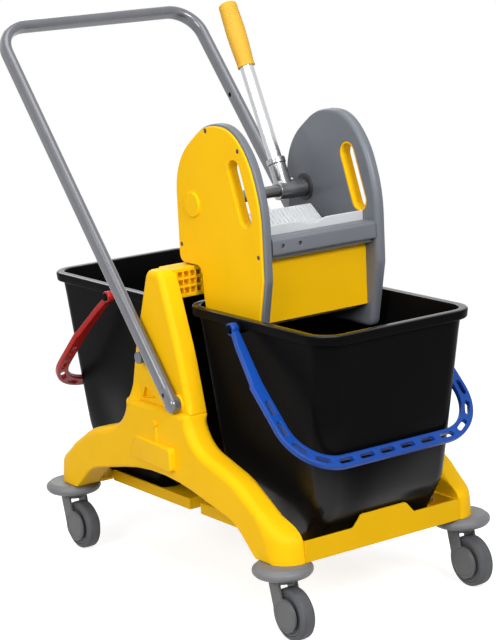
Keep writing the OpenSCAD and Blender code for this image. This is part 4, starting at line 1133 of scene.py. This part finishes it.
class TROLLEY_OT_lever(bpy.types.Operator):
    """Build the lever, its hub, shaft and press jaw"""
    bl_idname = "trolley.lever"
    bl_label = "Lever and jaw"

    def execute(self, context):
        eased("pivot_shaft", "shaft", 0.8)
        eased("lever_hub", "cast", 0.9, segments=3, clamp=False)
        eased("lever_collar", "cast", 1.0, segments=3)
        eased("lever_tube", "lever", 0.5)
        put("lever_grip", grip_shape(), "grip", "sleeve")
        put("press_jaw", jaw_shape(), "pale")
        eased("hub_screw", "zinc", 0.5)
        return {"FINISHED"}


class TROLLEY_OT_casters(bpy.types.Operator):
    """Build the casters and their bumpers"""
    bl_idname = "trolley.casters"
    bl_label = "Casters"

    def execute(self, context):
        for corner in CORNERS:
            eased(f"{corner}_bumper", "caster_grey", 0.6)
            eased(f"{corner}_stem", "zinc", 0.5)
            eased(f"{corner}_fork", "fork_grey", 0.9, segments=3, extra=cheek_rings(corner), clamp=False,
                  split=True)
            eased(f"{corner}_axle", "zinc", 0.4)
            eased(f"{corner}_hub", "fork_grey", 0.6)
            put(f"{corner}_tyre", tyre_shape(corner), "tyre", "tread")
        return {"FINISHED"}


class TROLLEY_OT_stage(bpy.types.Operator):
    """Set up the floor, the lights and the camera"""
    bl_idname = "trolley.stage"
    bl_label = "Studio"

    def execute(self, context):
        context.scene.view_settings.view_transform = "Standard"
        floor()
        sky()
        lights()
        camera()
        return {"FINISHED"}


class TROLLEY_PT_panel(bpy.types.Panel):
    """Sizes, colours and steps of the trolley"""
    bl_idname = "TROLLEY_PT_panel"
    bl_label = "Mop Bucket Trolley"
    bl_space_type = "VIEW_3D"
    bl_region_type = "UI"
    bl_category = "Trolley"

    def draw(self, context):
        for group in (context.scene.trolley_sizes, context.scene.trolley_colours):
            column = self.layout.column(align=True)
            for key in group.__annotations__:
                column.prop(group, key)
        column = self.layout.column()
        for operator in OPERATORS:
            column.operator(operator.bl_idname)


OPERATORS = (TROLLEY_OT_finishes, TROLLEY_OT_chassis, TROLLEY_OT_handle, TROLLEY_OT_buckets,
             TROLLEY_OT_wringer, TROLLEY_OT_lever, TROLLEY_OT_casters, TROLLEY_OT_stage)
CLASSES = (TrolleySizes, TrolleyColours, *OPERATORS, TROLLEY_PT_panel)


def register():
    for made in CLASSES:
        bpy.utils.register_class(made)
    bpy.types.Scene.trolley_sizes = PointerProperty(type=TrolleySizes)
    bpy.types.Scene.trolley_colours = PointerProperty(type=TrolleyColours)


def unregister():
    del bpy.types.Scene.trolley_colours
    del bpy.types.Scene.trolley_sizes
    for made in reversed(CLASSES):
        bpy.utils.unregister_class(made)


def main():
    register()
    bpy.ops.trolley.finishes()
    bpy.ops.trolley.chassis()
    bpy.ops.trolley.handle()
    bpy.ops.trolley.buckets()
    bpy.ops.trolley.wringer()
    bpy.ops.trolley.lever()
    bpy.ops.trolley.casters()
    bpy.ops.trolley.stage()


if __name__ == "__main__":
    main()
